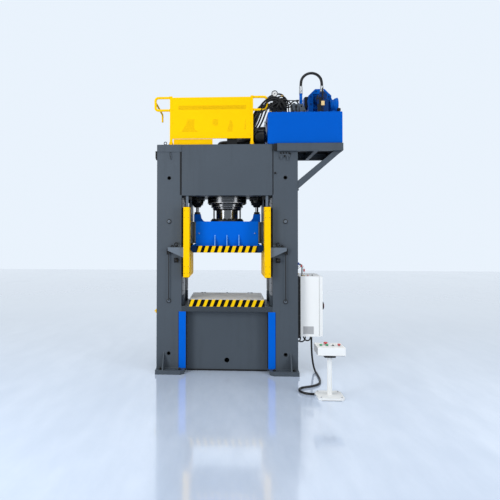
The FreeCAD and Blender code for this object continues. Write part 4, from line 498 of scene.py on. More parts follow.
class Shape:
    """One mesh piece, put together from turned, extruded and bevelled forms."""
    made = []

    def __init__(self, name, finish, body="frame"):
        self.name, self.finish, self.body = name, finish, body
        self.bm = bmesh.new()
        Shape.made.append(self)

    def skin(self, rings, closed=False):
        """Join rings of points, and cap both ends unless the last ring is joined to the first."""
        rings = [[self.bm.verts.new(MM * Vector(point)) for point in ring] for ring in rings]
        for low, high in zip(rings, rings[1:] + rings[:1] if closed else rings[1:]):
            for k in range(max(len(low), len(high))):
                near = (low[k % len(low)], low[(k + 1) % len(low)])
                far = (high[(k + 1) % len(high)], high[k % len(high)])
                self.bm.faces.new(tuple(dict.fromkeys(near + far)))
        for ring in (rings[0], rings[-1]):
            if len(ring) > 1 and not closed:
                self.bm.faces.new(ring)
        return rings[0] + rings[-1]

    def soften(self, verts, bevel, steps=1):
        edges = list({edge for vert in verts for edge in vert.link_edges})
        bmesh.ops.bevel(self.bm, geom=edges, offset=bevel * MM, segments=steps, profile=0.5, affect="EDGES")

    def lathe(self, profile, places, sides, axis="Z", turn=0.0):
        """Turn (radius, height) points about an axis; a profile that ends away from it closes to a ring."""
        for place in each(places):
            seat = Matrix.Translation(place) @ TURN[axis] @ Matrix.Rotation(turn, 4, "Z")
            rings = []
            for radius, height in profile:
                angles = [2 * pi * k / sides for k in range(sides if radius else 1)]
                rings.append([seat @ Vector((radius * cos(a), radius * sin(a), height)) for a in angles])
            self.skin(rings, profile[-1][0] > 0)

    def knob(self, steps, *seat):
        """A turned solid whose first step stands on its base; the last is its flat top."""
        self.lathe([(steps[0][0], 0), *steps, (0, steps[-1][1])], *seat)

    def block(self, low, high, bevel=2, steps=1):
        """A box between two opposite corners, with bevelled edges."""
        size = [abs(b - a) for a, b in zip(low, high)]
        centre = [(a + b) / 2 for a, b in zip(low, high)]
        seat = Matrix.Scale(MM, 4) @ Matrix.Translation(centre) @ Matrix.Diagonal((*size, 1))
        made = bmesh.ops.create_cube(self.bm, size=1.0, matrix=seat)
        self.soften(made["verts"], min(bevel, min(size) * 0.45), steps)

    def block_pair(self, low, high, *bevel):
        """A box and its mirror image on the press's other side."""
        for side in SIDES:
            self.block((side * low[0], *low[1:]), (side * high[0], *high[1:]), *bevel)

    def prism(self, outline, place, axis, depth, bevel=0):
        """Draw an outline out along the axis; on -Y its points are (x, z)."""
        seat = Matrix.Translation(place) @ TURN[axis]
        verts = self.skin([[seat @ Vector((x, y, level)) for x, y in outline] for level in (0, depth)])
        if bevel:
            self.soften(verts, bevel)

    def sweep(self, points, radius, sides=8):
        """A round bar along a line of points; rounding settles which way a slanting bar's first side looks."""
        points = [Vector(point) for point in points]
        across, rings = None, []
        for index, point in enumerate(points):
            ahead = (points[min(index + 1, len(points) - 1)] - points[max(index - 1, 0)]).normalized()
            across = across or Vector([round(part, 4) for part in ahead]).orthogonal().normalized()
            across = (across - ahead * across.dot(ahead)).normalized()
            over = ahead.cross(across)
            angles = [2 * pi * k / sides for k in range(sides)]
            rings.append([point + radius * (across * cos(a) + over * sin(a)) for a in angles])
        self.skin(rings)

    def bolt(self, places, across, axis="Z", washer=True):
        """Hexagon heads, on washers."""
        base = across * 0.10 if washer else 0.0
        corner, top = across / sqrt(3), base + across * 0.40
        for place in each(places):
            turn = random.uniform(0, 1)
            if washer:
                self.knob([(across * 0.70, base * 0.8), (across * 0.66, base)], place, 14, axis)
            self.lathe([(corner, base), (corner, base + across * 0.32), (across * 0.47, top), (0, top)],
                       place, 6, axis, turn)

    def screw(self, places, radius, axis="Z"):
        """Cap screws with their sockets."""
        socket = radius * 0.5
        steps = [(radius, radius * 0.85), (radius * 0.86, radius), (socket, radius), (socket, radius * 0.4)]
        for place in each(places):
            self.knob(steps, place, 12, axis, random.uniform(0, 1))

    def put(self):
        """Turn the finished form into a smooth-shaded piece of its body."""
        bmesh.ops.recalc_face_normals(self.bm, faces=self.bm.faces[:])
        data = bpy.data.meshes.new(self.name)
        self.bm.to_mesh(data)
        self.bm.free()
        data.polygons.foreach_set("use_smooth", [True] * len(data.polygons))
        data.set_sharp_from_angle(angle=radians(35))
        data.materials.append(MATERIALS[self.finish])
        item = add(self.name, data)
        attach(item, self.body)


# ---------------- frame

def dress_frame():
    """Port ring plugs, black strips painted as shadow in the joints and gaps, foot nuts, and the small
    fittings on the uprights.
    """
    front = -620
    ports = both(1155)
    feet = (both(1310, 925), both(730))
    rings = Shape("port_grommets", "black_plastic")
    rings.lathe([(29, 4), (29, -3), (37, -3), (40, 1), (40, 4)], grid(ports, front, (3860, 370)), 24, "Y")
    rings.lathe([(31, 0), (31, 12), (36, 14), (46, 10), (46, 0)], grid(ports, front, (2990, 1410)), 24, "-Y")
    plugs = Shape("port_plugs", "bracket_paint")
    plugs.lathe([(29, 12), (29, -6), (20, -9), (0, -9)], grid(ports, front - 8, 2990), 24, "Y")
    plugs.lathe([(29, 12), (29, -4), (14, -6), (0, -6)], grid(ports, front - 8, 1410), 24, "Y")
    plugs.screw(grid(ports, front - 17, 2990), 10, "-Y")

    # Painted shadow: black strips in the gaps beside the crown, under the bed and its ledge, beside the corner
    # covers, and at the right upright's top.
    shadow_strips = Shape("painted_shadow_strips", "black_plastic")
    shadow_strips.block((-938, -623.5, 3520), (-905.5, -619.5, 4526), 1)
    shadow_strips.block((905.5, -623.5, 3520), (920, -619.5, 4526), 1)
    shadow_strips.block((-800, -469, 0), (800, -460, 32))
    shadow_strips.block((-800, -469, 1174), (800, -460, 1199.5))
    shadow_strips.block((930, -690, 4385), (990, -634, 4528), 4)
    shadow_strips.block_pair((954, -624, 85), (964, -620, 1200), 1)
    shadow_strips.block_pair((806, -628, 85), (816, -460, 1195), 1)
    Shape("ledge_face", "ledge_grey").block((-900, -622.5, 1203.5), (900, -619.7, 1297), 1)
    welds = Shape("frame_weld_beads", "grey_paint")
    for side, face in grid(SIDES, SIDES):
        welds.sweep([(side * 905, face * 620, z) for z in (90, 600, 1200)], 6)
        welds.sweep([(side * x, face * 620, 82) for x in (920, 1150, 1390)], 7)
        welds.sweep([(side * x, face * 626, 3510) for x in (620, 880)], 4)
    for x in both(1400):
        welds.sweep([(x, y, 82) for y in (-610, 0, 610)], 7)
    anchors = Shape("anchor_nuts", "black_steel")
    anchors.knob([(34, 5)], grid(*feet, 80), 20)
    anchors.bolt(grid(*feet, 85), 46, washer=False)
    anchors.lathe([(11, 100), (11, 122), (9, 125), (0, 125)], grid(*feet, 0), 12)

    left = Shape("left_junction_box", "black_plastic")
    left.block((-1437, -605, 4255), (-1400, -505, 4405), 5, 2)
    left.knob([(12, 22), (9, 26)], (-1420, -555, 4255), 12, "-Z")
    latch = Shape("left_side_latch", "yellow_paint")
    latch.block((-1425, -600, 1165), (-1400, -535, 1235), 6, 2)
    latch.knob([(14, 18), (10, 22)], (-1425, -568, 1200), 16, "-X")
    Shape("cable_hook", "black_steel").sweep(smooth([
        (-1128, -622, 4375), (-1128, -650, 4375), (-1143, -655, 4330), (-1122, -655, 4270),
        (-1118, -645, 4240), (-1118, -622, 4235)]), 5.5)
    bracket = Shape("platform_bracket", "grey_paint")
    bracket.block((1035, -634, 4262), (1250, -620, 4372), 4)
    bracket.block((1055, -650, 4225), (1095, -634, 4300), 3)
    bracket.block((1185, -650, 4205), (1215, -634, 4290), 3)
    fixings = Shape("platform_bracket_bolts", "black_steel")
    fixings.bolt(grid((1065, 1120, 1175, 1228), -634, 4345), 26, "-Y")
    fixings.bolt((1142, -634, 4285), 30, "-Y")
    fixings.knob([(16, 20)], (1245, front, 4330), 16, "-Y")
    for name, level in (("upper", 4452), ("lower", 3950)):
        stub = Shape("right_pipe_stub_" + name, "black_steel")
        stub.knob([(22, 10), (14, 13), (14, 30)], (955, front, level), 16, "-Y")
    Shape("lifting_eye_washer", "zinc_steel").knob([(30, 8)], (-1244, -530, 4530), 20)


def dress_platform():
    """Bolts along the rear channel and the braces' end plates."""
    plates = Shape("brace_end_plates", "grey_paint")
    heads = Shape("platform_bolts", "black_steel")
    for y in (-628, 552):
        plates.block((1400, y, 3600), (1412, y + 76, 3800), 3)
        plates.block((2105, y, 4368), (2262, y + 76, 4380), 3)
        heads.bolt(grid(1412, y + 38, (3620, 3782)), 24, "X")
        heads.bolt(grid((2125, 2150), y + 38, 4368), 18, "-Z", washer=False)
    heads.bolt(grid((1050, 1160, 1270, 1360), 700, 4455), 26, "Y")


# ---------------- slide, cylinders and bolster

def dress_cylinders():
    """Cap screws, bright edges and lubrication fittings on the cylinders under the crown."""
    rods = both(625)
    screws = Shape("cylinder_screws", "black_steel")
    screws.screw(around(24, 372.5, (0, 0, 3370), 0.13), 15.5, "-Z")
    for x, y, z in around(20, 266, (0, 0, 3248), 0.08):
        if abs(abs(x) - 275) > 35 or abs(y) > 50:
            screws.screw((x, y, z), 11, "-Z")
    bands = Shape("cylinder_bands", "machined_steel")
    for r, level, tall in ((410, 3380, 10), (410, 3446, 5), (335, 3300, 8), (335, 3352, 4), (302, 3262, 6)):
        bands.lathe([(r - 4, 0), (r + 1.5, 0), (r + 2.8, tall / 2), (r + 1.5, tall), (r - 4, tall)],
                    (0, 0, level), 96)
    sides = Shape("return_cylinder_fittings", "black_steel")
    pipes = Shape("return_cylinder_pipes", "black_plastic")
    for x in rods:
        sides.bolt(around(8, 116, (x, 0, 3360), 0.39), 26, "-Z", washer=False)
        route = [(x, -172, 3420), (x, -215, 3420), (x, -250, 3432), (x, -252, 3475), (x, -252, 3511)]
        pipes.sweep(smooth(route), 14, 10)
    sides.lathe([(128.5, 0), (136, 4), (136, 26), (128.5, 30)], grid(rods, 0, 3472), 48)
    sides.knob([(24, 20), (18, 26), (18, 52)], grid(rods, -126, 3420), 12, "-Y")
    flanges = Shape("return_cylinder_flanges", "black_steel")
    flanges.block_pair((470, -150, 3452), (731, 150, 3508), 12, 2)
    flanges.bolt(grid(both(498, 560, 640, 705), both(142), 3452), 30, "-Z")
    nuts = Shape("rod_lock_nuts", "black_steel", "slide")
    nuts.lathe([(33, 0), (72, 0), (72, 8), (33, 8)], grid(rods, 0, 3154), 24)
    nuts.lathe([(33, 0), (63, 0), (63, 34), (56, 40), (33, 40)], grid(rods, 0, 3162), 6, "Z", 0.3)
    nuts.lathe([(17, 0), (34, 0), (34, 18), (30, 22), (17, 22)], grid(both(275), 0, 3039.5), 6, "Z", 0.2)
    Shape("ram_flange_bolts", "black_steel", "slide").bolt(around(16, 303, (0, 0, 3039), 0.196), 42)
    Shape("ram_scraper", "black_plastic").lathe(
        [(230.6, 0), (250, 0), (246, 10), (230.6, 14)], (0, 0, 3234), 64)


def dress_slider():
    """Rib edge beads in a pale blue that paints their highlight, grey strips at the side edges painted as a
    highlight, shoe bolts and grease nipples on the moving slider.
    """
    # The rib edge beads are pale blue as a painted highlight on the ribs' sloped edges.
    edges = Shape("rib_edge_highlight_beads", "highlight_blue", "slide")
    welds = Shape("slider_welds", "blue_paint", "slide")
    for rib in (-240, 0, 240):
        edges.sweep([(rib, -504.5, 2720), (rib, -542, 2614), (rib, -579.5, 2508)], 6.2)
        for x in (rib - 10, rib + 10):
            welds.sweep([(x, -501.5, 2512), (x, -501.5, 2715)], 4, 6)
            welds.sweep([(x, -505, 2505.5), (x, -574, 2505.5)], 4, 6)
    welds.sweep([(-620, -501.5, 2505.5), (620, -501.5, 2505.5)], 5)
    # Painted highlight: grey strips at the slider's side edges, lighter than the blue body.
    Shape("slider_edge_highlight_strips", "bracket_paint", "slide").block_pair((633, -506, 2575), (648, -484, 2980), 3)
    heads = Shape("shoe_screws", "black_steel", "slide")
    for side, y, z in grid(SIDES, both(484), (2600, 2690, 2780, 2870, 2950)):
        heads.screw([(side * 645, y, z), (side * 844.5, y, z)], 8.5, away(y, "Y"))
    lines = Shape("grease_lines", "black_plastic", "slide")
    for side in SIDES:
        lines.sweep(smooth([
            (side * 660, -475, 2965), (side * 700, -500, 2990), (side * 745, -500, 2900),
            (side * 740, -500, 2760), (side * 700, -500, 2620), (side * 662, -478, 2585)]), 6)
    nipples = Shape("grease_nipples", "machined_steel", "slide")
    nipples.knob([(12, 8), (7, 10), (7, 18), (4, 22)], grid(both(560), -500, 2755), 12, "-Y")


def dress_tables():
    """Striped warning plates, and covers and stops in the bolster's slots."""
    plate = Shape("slider_warning_plate", "slider_warning", "slide")
    plate.block((-605, -602.5, 2371.5), (605, -600, 2502.5), 0.8)
    plate = Shape("bolster_warning_plate", "bolster_warning")
    plate.block((-749, -622.5, 1301.5), (749, -620, 1438.5), 0.8)
    covers = Shape("slot_covers", "ground_steel")
    for x in (-500, 0, 500):
        covers.block((x - 13.8, -619.5, 1428), (x + 13.8, 470, 1439.6), 0.6)
    stops = Shape("slot_end_stops", "black_steel")
    for low, high in ((-575, -530), (-515, -470), (-20, 20), (450, 495), (510, 565)):
        stops.block((low, 540, 1440), (high, 612, 1449.5), 3)


def dress_rails():
    """Screws and foot blocks of the guide rails, black strips on the rails painted as the posts' shadow, the
    straps beside them, and black blocks under the crown edge painted as shade.
    """
    caps = Shape("rail_screws_and_shadow_strips", "black_steel")
    for x, y in grid(both(882.5), both(500)):
        caps.screw(grid(x, y, range(1600, 3400, 160)), 9, away(y, "Y"))
    # Painted shadow: thin black strips on the rails beside the safety posts.
    caps.block_pair((862.2, -504, 1885), (903, -500, 3270), 1)
    feet = Shape("rail_foot_blocks", "grey_paint")
    for y in both(440):
        feet.block_pair((860, y - 60, 1300), (905, y + 60, 1515), 4)
    Shape("side_sheet_straps", "grey_paint").block_pair((733.5, -369.5, 3000), (748.5, 304, 3509), 3)
    # Painted shade: black blocks under the crown's front edge, beside the post hangers.
    crown_edge_shade = Shape("painted_shade_under_crown", "black_steel")
    for y in both(540):
        crown_edge_shade.block_pair((700, y - 22, 3428), (868, y + 22, 3509), 4)


# ---------------- safety posts, brackets and guard

def dress_curtains():
    """Amber windows in the posts' grooves, end caps with screws, and the brackets' knobs and eyes, with black
    plates behind the lower knobs painted as their shadow.
    """
    windows = Shape("curtain_windows", "amber_window")
    caps = Shape("curtain_end_caps", "black_plastic")
    bolts = Shape("curtain_screws", "black_steel")
    for side, (centre, face) in grid(SIDES, ((795, -778), (825, 778))):
        x = side * centre
        sign = 1 if face > 0 else -1
        outward = away(face, "Y")
        windows.block((x - 15, face - sign * 11.5, 1940), (x + 15, face - sign * 7.5, 3220), 1.5)
        for z in (1882, 3270):
            caps.block((x - 52, face - sign * 114, z), (x + 52, face - sign * 4, z + 8), 3)
        spots = grid((1965, 2100, 3060, 3195), both(38))
        bolts.screw([(x + across, face, z) for z, across in spots], 5.5, outward)
        bolts.screw(grid(x - side * 59, face - sign * 85, (1980, 2620, 3180)), 7, away(-side, "X"))
    knobs = Shape("bracket_knobs_and_shadow_plates", "black_plastic")
    knobs.knob([(16, 16), (30, 22), (40, 36), (40, 62), (30, 76)], grid(both(1010), -672, 2268), 18, "-Z")
    knobs.knob([(10, 14), (20, 18), (20, 40)], grid(both(1135), -670, 2395), 16, "-Z")
    # Painted shadow: black plates on the upright behind the lower knobs.
    knobs.block_pair((966, -626.5, 2170), (1054, -620, 2266))
    knobs.block_pair((1168, -668, 2330), (1196, -640, 2445), 4)
    for x in both(1172):
        knobs.knob([(18, 16), (10, 20)], (x, -650, 2440), 14, away(x, "X"))
    eyes = Shape("bracket_eyes", "black_steel")
    for side, (reach, z, radius) in grid(SIDES, ((1005, 2512, 34), (1085, 2472, 22))):
        ring = around(20, radius, (side * reach, -668, z + 20), 0, "XZ")
        eyes.sweep(ring + ring[:1], 10.5)
        eyes.lathe([(18, -30), (18, -10), (11, -4), (0, -4)], (side * reach, -668, z), 14)
    spots = grid(SIDES, ((-669, 0), (669, 30)), (930, 1000, 1090))
    eyes.bolt([(side * (x + shift), y, 2476) for side, (y, shift), x in spots], 20)
    Shape("bracket_back_plates", "bracket_paint").block_pair((905, -632, 2440), (1055, -620, 2520), 4)


def dress_guard():
    """Foot bolts, panel screws and rail plugs of the yellow guard."""
    bolts = Shape("guard_foot_bolts", "black_steel")
    for x in (-1168, -1092, 462, 538):
        bolts.bolt(grid(x, (-553, -477), 4542), 16)
        bolts.screw((x, -565, 4537.5), 4.5, "-Y")
    plugs = Shape("guard_rivets", "yellow_paint")
    plugs.lathe([(11, 0), (10, 3), (0, 4.5)], grid((-1095, 465), -543, (4720, 4980, 5240, 5460)), 12, "-Y")
    plugs.lathe([(8, 0), (7, 2), (0, 3.5)], grid(range(-930, 300, 175), -543, (4690, 5475)), 10, "-Y")
    plugs.lathe([(9, 0), (8, 3), (0, 4)], grid((-980, -700, -400), -515, 4600), 10, "-Y")
    for x in (-1130, 500):
        plugs.block((x - 22, -537, 5525), (x + 22, -493, 5529), 1)
    collars = Shape("guard_weld_collars", "yellow_paint")
    flare = [(24.5, 0), (30, 2), (26.5, 10), (24.5, 12)]
    for x in (-1156, 526):
        collars.lathe(flare, grid(x, -515, (5500, 5245)), 24, away(x, "X"))


# ---------------- tank and power unit

def dress_tank():
    """Lid bolts, side cover, level gauge and welds of the tank, the boot that leads to it, and a black sheet
    under the tank painted as shade.
    """
    lid, centre = 5160, (787, -150, 4870)
    bolts = Shape("tank_lid_bolts", "tank_blue")
    bolts.bolt(grid([860 + k * 124.1 for k in range(12)], both(618), lid), 22)
    bolts.bolt([(x, y, lid) for y, x in grid((-400, -150, 100, 350), (840, 2245))], 22)
    cover = Shape("side_cover_bolts", "zinc_steel")
    cover.bolt(around(14, 203, centre, 0, "YZ"), 22, "-X")
    cover.lathe([(165, 0), (172, 4), (180, 4), (185, 0)], centre, 48, "-X")
    cover.lathe([(226, 0), (231, 3), (231, 10), (226, 12)], (814, -150, 4870), 64, "-X")
    folds = [(150, 50), (158, 90), (150, 125), (158, 160), (150, 195), (158, 230)]
    Shape("suction_boot", "black_plastic").lathe(
        [(60, 0), (110, 10), *folds, (140, 262), (0, 262)], (512, -330, 4715), 40, "X")
    gauge = Shape("tank_level_body", "black_steel")
    gauge.block((1620, 640, 4620), (1680, 652, 4960), 4)
    gauge.bolt(grid(1650, 652, (4645, 4935)), 22, "Y", washer=False)
    gauge.knob([(30, 18), (22, 26), (22, 40)], (2200, 640, 4600), 6, "Y")
    Shape("tank_level_glass", "amber_window").knob([(12, 200)], (1650, 654, 4690), 16)
    # Painted shade: a thin black sheet under the tank, dark in the platform's bays.
    Shape("painted_shade_under_tank", "black_plastic").block((1402, -618, 4522), (2262, 618, 4529.5), 1)
    seam = Shape("tank_corner_welds", "blue_paint")
    for x, y in grid((817, 2268), both(638)):
        seam.sweep([(x, y, z) for z in (4550, 4850, 5146)], 5)


def spoke(centre, degree, inner, outer, half):
    """The outline of a bar that points away from the centre at an angle."""
    ray = Vector((cos(radians(degree)), sin(radians(degree))))
    side = half * ray.orthogonal()
    corners = (inner * ray - side, inner * ray + side, outer * ray + side, outer * ray - side)
    return [Vector(centre) + corner for corner in corners]


def dress_motor():
    """Fins, fan grille, terminal box and end shield screws of the motor."""
    x, z = MOTOR
    fins = Shape("motor_fins", "motor_blue")
    for degree in [9.5 * k - 38 for k in range(28)]:
        if not (80 < degree < 100 or 140 < degree < 205):
            fins.prism(spoke(MOTOR, degree, 228, 234.5, 3), (0, 450, 0), "-Y", 550)
    grille = Shape("fan_grille", "motor_blue")
    for radius in (50, 85, 120, 155):
        grille.lathe([(radius - 4, 0), (radius, 5), (radius + 4, 0), (radius, -2)], (x, 618, z), 40, "Y")
    for ends in zip(*(around(8, radius, (x, 621, z), 0, "XZ") for radius in (20, 170))):
        grille.sweep(ends, 3.5, 6)
    Shape("terminal_lid", "motor_blue").block((1612, -40, 5395), (1620, 200, 5605), 4)
    fixings = Shape("terminal_screws", "black_steel")
    fixings.screw(grid(1612, (-25, 185), (5410, 5590)), 7, "-X")
    fixings.knob([(22, 14), (16, 18), (16, 34)], grid(1663, (20, 140), 5385), 6, "-Z")
    Shape("motor_shield_bolts", "deep_blue").bolt(around(8, 200, (x, -192, z), 0.39, "XZ"), 22, "-Y")


def dress_pump():
    """Cover, neck and blank tag of the pump."""
    x, z = MOTOR
    cap = Shape("pump_cover", "deep_blue")
    cap.knob([(88, 10), (80, 14), (30, 14), (26, 18)], (x, -530, z), 32, "-Y")
    cap.block((1800, -545, 5180), (2020, -535, 5430), 4)
    neck = Shape("pump_neck", "black_steel")
    neck.knob([(55, 20), (46, 28), (46, 180), (58, 190), (58, 215), (40, 235)], (1868, -470, 5175), 24)
    neck.block((1800, -560, 5176), (1880, -546, 5330), 5)
    neck.block((1828, -560, 5330), (1885, -546, 5470), 5)
    neck.sweep([(1905, -553, 5190), (1912, -553, 5330), (1915, -553, 5470)], 8)
    neck.block((1886, -566, 5470), (1916, -548, 5655), 6, 2)
    label = Shape("pump_blank_tag", "tag_cream")
    label.block((1872, -566, 5305), (1938, -564, 5392), 1)
    label.block((1902, -564, 5300), (1910, -545, 5397), 1)
    Shape("pump_cover_screws", "black_steel").screw(around(6, 66, (x, -544, z), 0.2, "XZ"), 8, "-Y")


def dress_pressure_line():
    """Hose ends, riser collars, check valve plugs, filter rims and breather ribs."""
    line = -425
    nuts = Shape("pressure_hose_nuts", "zinc_steel")
    ferrules = Shape("pressure_hose_ferrules", "zinc_steel")
    grooves = [(34.5, 16), (32.5, 20), (34.5, 24), (34.5, 52), (32.5, 56), (34.5, 60)]
    for x, low, tall in ((1490, 5576, 98), (1910, 5610, 64)):
        nuts.lathe([(30, 0), (39, 3), (39, 36), (30, 40)], (x, line, low), 6, "Z", 0.25)
        sleeve = [(30, 0), (34.5, 2), *grooves, (34.5, tall), (30, tall + 4)]
        ferrules.lathe(sleeve, (x, line, low + 44), 10)
    riser = Shape("riser_collars", "motor_blue")
    riser.lathe([(30, 0), (44, 0), (44, 22), (38, 28), (30, 28)], (1490, line, 5350), 24)
    riser.lathe([(30, 0), (34, 2), (34, 10), (30, 12)], (1490, line, 5558), 24)
    block = Shape("check_valve_plugs", "black_steel")
    block.screw(grid((1330, 1545), -515, 5205), 13, "-Y")
    block.knob([(28, 12), (16, 16), (16, 26)], (1385, -515, 5300), 6, "-Y")
    block.knob([(24, 12), (12, 16)], (1350, line, 5350), 6)
    centre = (-350, 5348)
    drum = Shape("filter_drum_rims", "motor_blue")
    drum.lathe([(148, 0), (154.5, 4), (154.5, 20), (148, 24)], (2206, *centre), 48, "X")
    drum.lathe([(148, 0), (152.5, 3), (152.5, 12), (148, 15)], (2090, *centre), 48, "X")
    drum.bolt(around(8, 120, (2230, *centre), 0.3, "YZ"), 16, "X", washer=False)
    Shape("breather_ribs", "black_plastic").lathe(
        [(34, 0), (37.5, 3), (34, 6)], grid(2214, -580, range(5182, 5230, 8)), 24)


HARD_PIPES = (
    ((1205, -470, 5330), (1260, -470, 5335), (1330, -480, 5420), (1400, -490, 5420), (1440, -500, 5330),
     (1445, -510, 5230), (1448, -515, 5165)),
    ((1205, -430, 5300), (1280, -430, 5300), (1330, -440, 5375), (1370, -470, 5370), (1385, -520, 5280),
     (1385, -530, 5165)),
    ((905, -505, 5240), (905, -560, 5240), (900, -570, 5330), (960, -560, 5450), (1060, -540, 5505),
     (1160, -520, 5490), (1215, -500, 5400), (1235, -500, 5280), (1240, -500, 5165)),
    ((985, -505, 5240), (985, -570, 5240), (1010, -580, 5320), (1100, -570, 5420), (1190, -550, 5430),
     (1270, -530, 5370), (1300, -520, 5270), (1305, -520, 5165)),
    ((1085, -505, 5240), (1085, -565, 5245), (1060, -580, 5330), (980, -580, 5400), (860, -570, 5420),
     (740, -545, 5330), (660, -510, 5180), (600, -490, 5020), (540, -480, 4870), (450, -470, 4780),
     (380, -470, 4740), (300, -470, 4740)),
    ((1170, -505, 5240), (1170, -570, 5250), (1120, -590, 5350), (1010, -590, 5470), (880, -580, 5480),
     (740, -550, 5400), (640, -510, 5270), (570, -490, 5100), (510, -480, 4950), (420, -470, 4860),
     (300, -470, 4850)),
    ((1000, -290, 5512), (1000, -290, 5550), (940, -320, 5585), (860, -380, 5540), (780, -420, 5440),
     (680, -440, 5340), (580, -450, 5230), (500, -450, 5080), (430, -440, 4960), (300, -430, 4900)),
    ((1150, -370, 5512), (1150, -370, 5560), (1060, -400, 5590), (960, -430, 5560), (860, -450, 5480),
     (800, -470, 5400), (720, -490, 5310), (660, -500, 5180), (600, -500, 5040), (545, -490, 4900),
     (440, -470, 4700), (300, -470, 4680)),
    ((1075, -500, 5340), (1075, -560, 5345), (1020, -590, 5430), (900, -590, 5445), (790, -560, 5390),
     (740, -520, 5270), (690, -500, 5120), (640, -490, 4990), (570, -480, 4860), (480, -480, 4750),
     (300, -480, 4700)),
    ((900, -500, 5330), (900, -540, 5330), (840, -565, 5320), (790, -545, 5220), (740, -520, 5080),
     (690, -500, 4960), (610, -490, 4830), (500, -480, 4690), (400, -480, 4640), (300, -480, 4640)),
    ((1150, -500, 5330), (1150, -545, 5335), (1110, -570, 5400), (990, -570, 5370), (840, -560, 5260),
     (700, -540, 5200), (600, -510, 5130), (520, -500, 5020), (440, -490, 4920), (300, -480, 4860)))


def dress_manifold():
    """Coils, connectors, brass fittings and bent hard pipes over the valve block."""
    coils = Shape("valve_coils", "black_plastic")
    plugs = Shape("valve_connectors", "black_plastic")
    bolts = Shape("manifold_fittings", "black_steel")
    for y in (-457, -370, -283):
        for low, high in ((1010, 1075), (1115, 1180)):
            coils.block((low, y - 36, 5392), (high, y + 36, 5470), 6, 2)
        for low, high in ((1018, 1064), (1128, 1172)):
            plugs.block((low, y - 16, 5470), (high, y + 16, 5512), 5, 2)
        coils.knob([(20, 26), (15, 32)], (999, y, 5438), 16, "-X")
        plugs.knob([(11, 16)], (1018, y, 5494), 12, "-X")
        bolts.knob([(13, 12), (9, 15), (5, 26)], (1189, y, 5438), 10, "X")
    bolts.knob([(21, 10), (12, 14), (12, 22)], grid((900, 985, 1085, 1170), -500, 5235), 6, "-Y")
    for row, (lift, _, land, _) in enumerate(HOSES):
        y = -466 + row * 32.5
        for place, axis in (((862, y, (PORT_Z + lift) / MM), "-X"), ((203, y, 4605 + land / MM), "X")):
            bolts.lathe([(16.5, 0), (22.5, 2), (22.5, 30), (16.5, 32)], place, 6, axis)
    pipes = Shape("clamped_hard_pipes", "hose_rubber")
    for number, route in enumerate(HARD_PIPES):
        pipes.sweep(smooth(route, 7), 13.5 if number < 4 else 17.5, 9)
    rod = Shape("manifold_rod", "black_steel")
    rod.sweep([(1120, -510, 5425), (1220, -512, 5422), (1385, -515, 5415)], 9, 10)
    rod.knob([(18, 50), (12, 56)], (1385, -515, 5415), 12, "X")
    brass = Shape("brass_adaptors", "brass")
    brass.knob([(18, 30), (12, 34), (12, 50)], (1075, -560, 5500), 6, "X")
    brass.knob([(14, 36)], (760, -575, 5215), 6, "X")
    brass.knob([(14, 30)], (860, -595, 5180), 6, "X")


def dress_gauge():
    """Rim, white dial and scale of the pressure gauge."""
    x, face, z = 960, -468, 5575
    bezel = Shape("gauge_bezel", "black_steel")
    bezel.lathe([(54.5, -4), (63.5, -4), (64.5, 0), (62.5, 6), (57.5, 8), (54.5, 4)], (x, -476, z), 48, "-Y")
    bezel.knob([(17, 26), (13, 30)], (x, -453.5, 5390), 6)
    dial = Shape("gauge_dial", "white_plastic")
    dial.lathe([(12, 0), (54, 0), (54, 0.4), (12, 0.4)], (x, face, z), 40, "-Y")
    marks = Shape("gauge_marks", "black_plastic")
    for k in range(28):
        inner, half = (43.5, 0.6) if k % 3 else (39.5, 1.1)
        marks.prism(spoke((0, 0), 225 - k * 10, inner, 48, half), (x, face - 0.4, z), "-Y", 0.6)


# ---------------- electrics

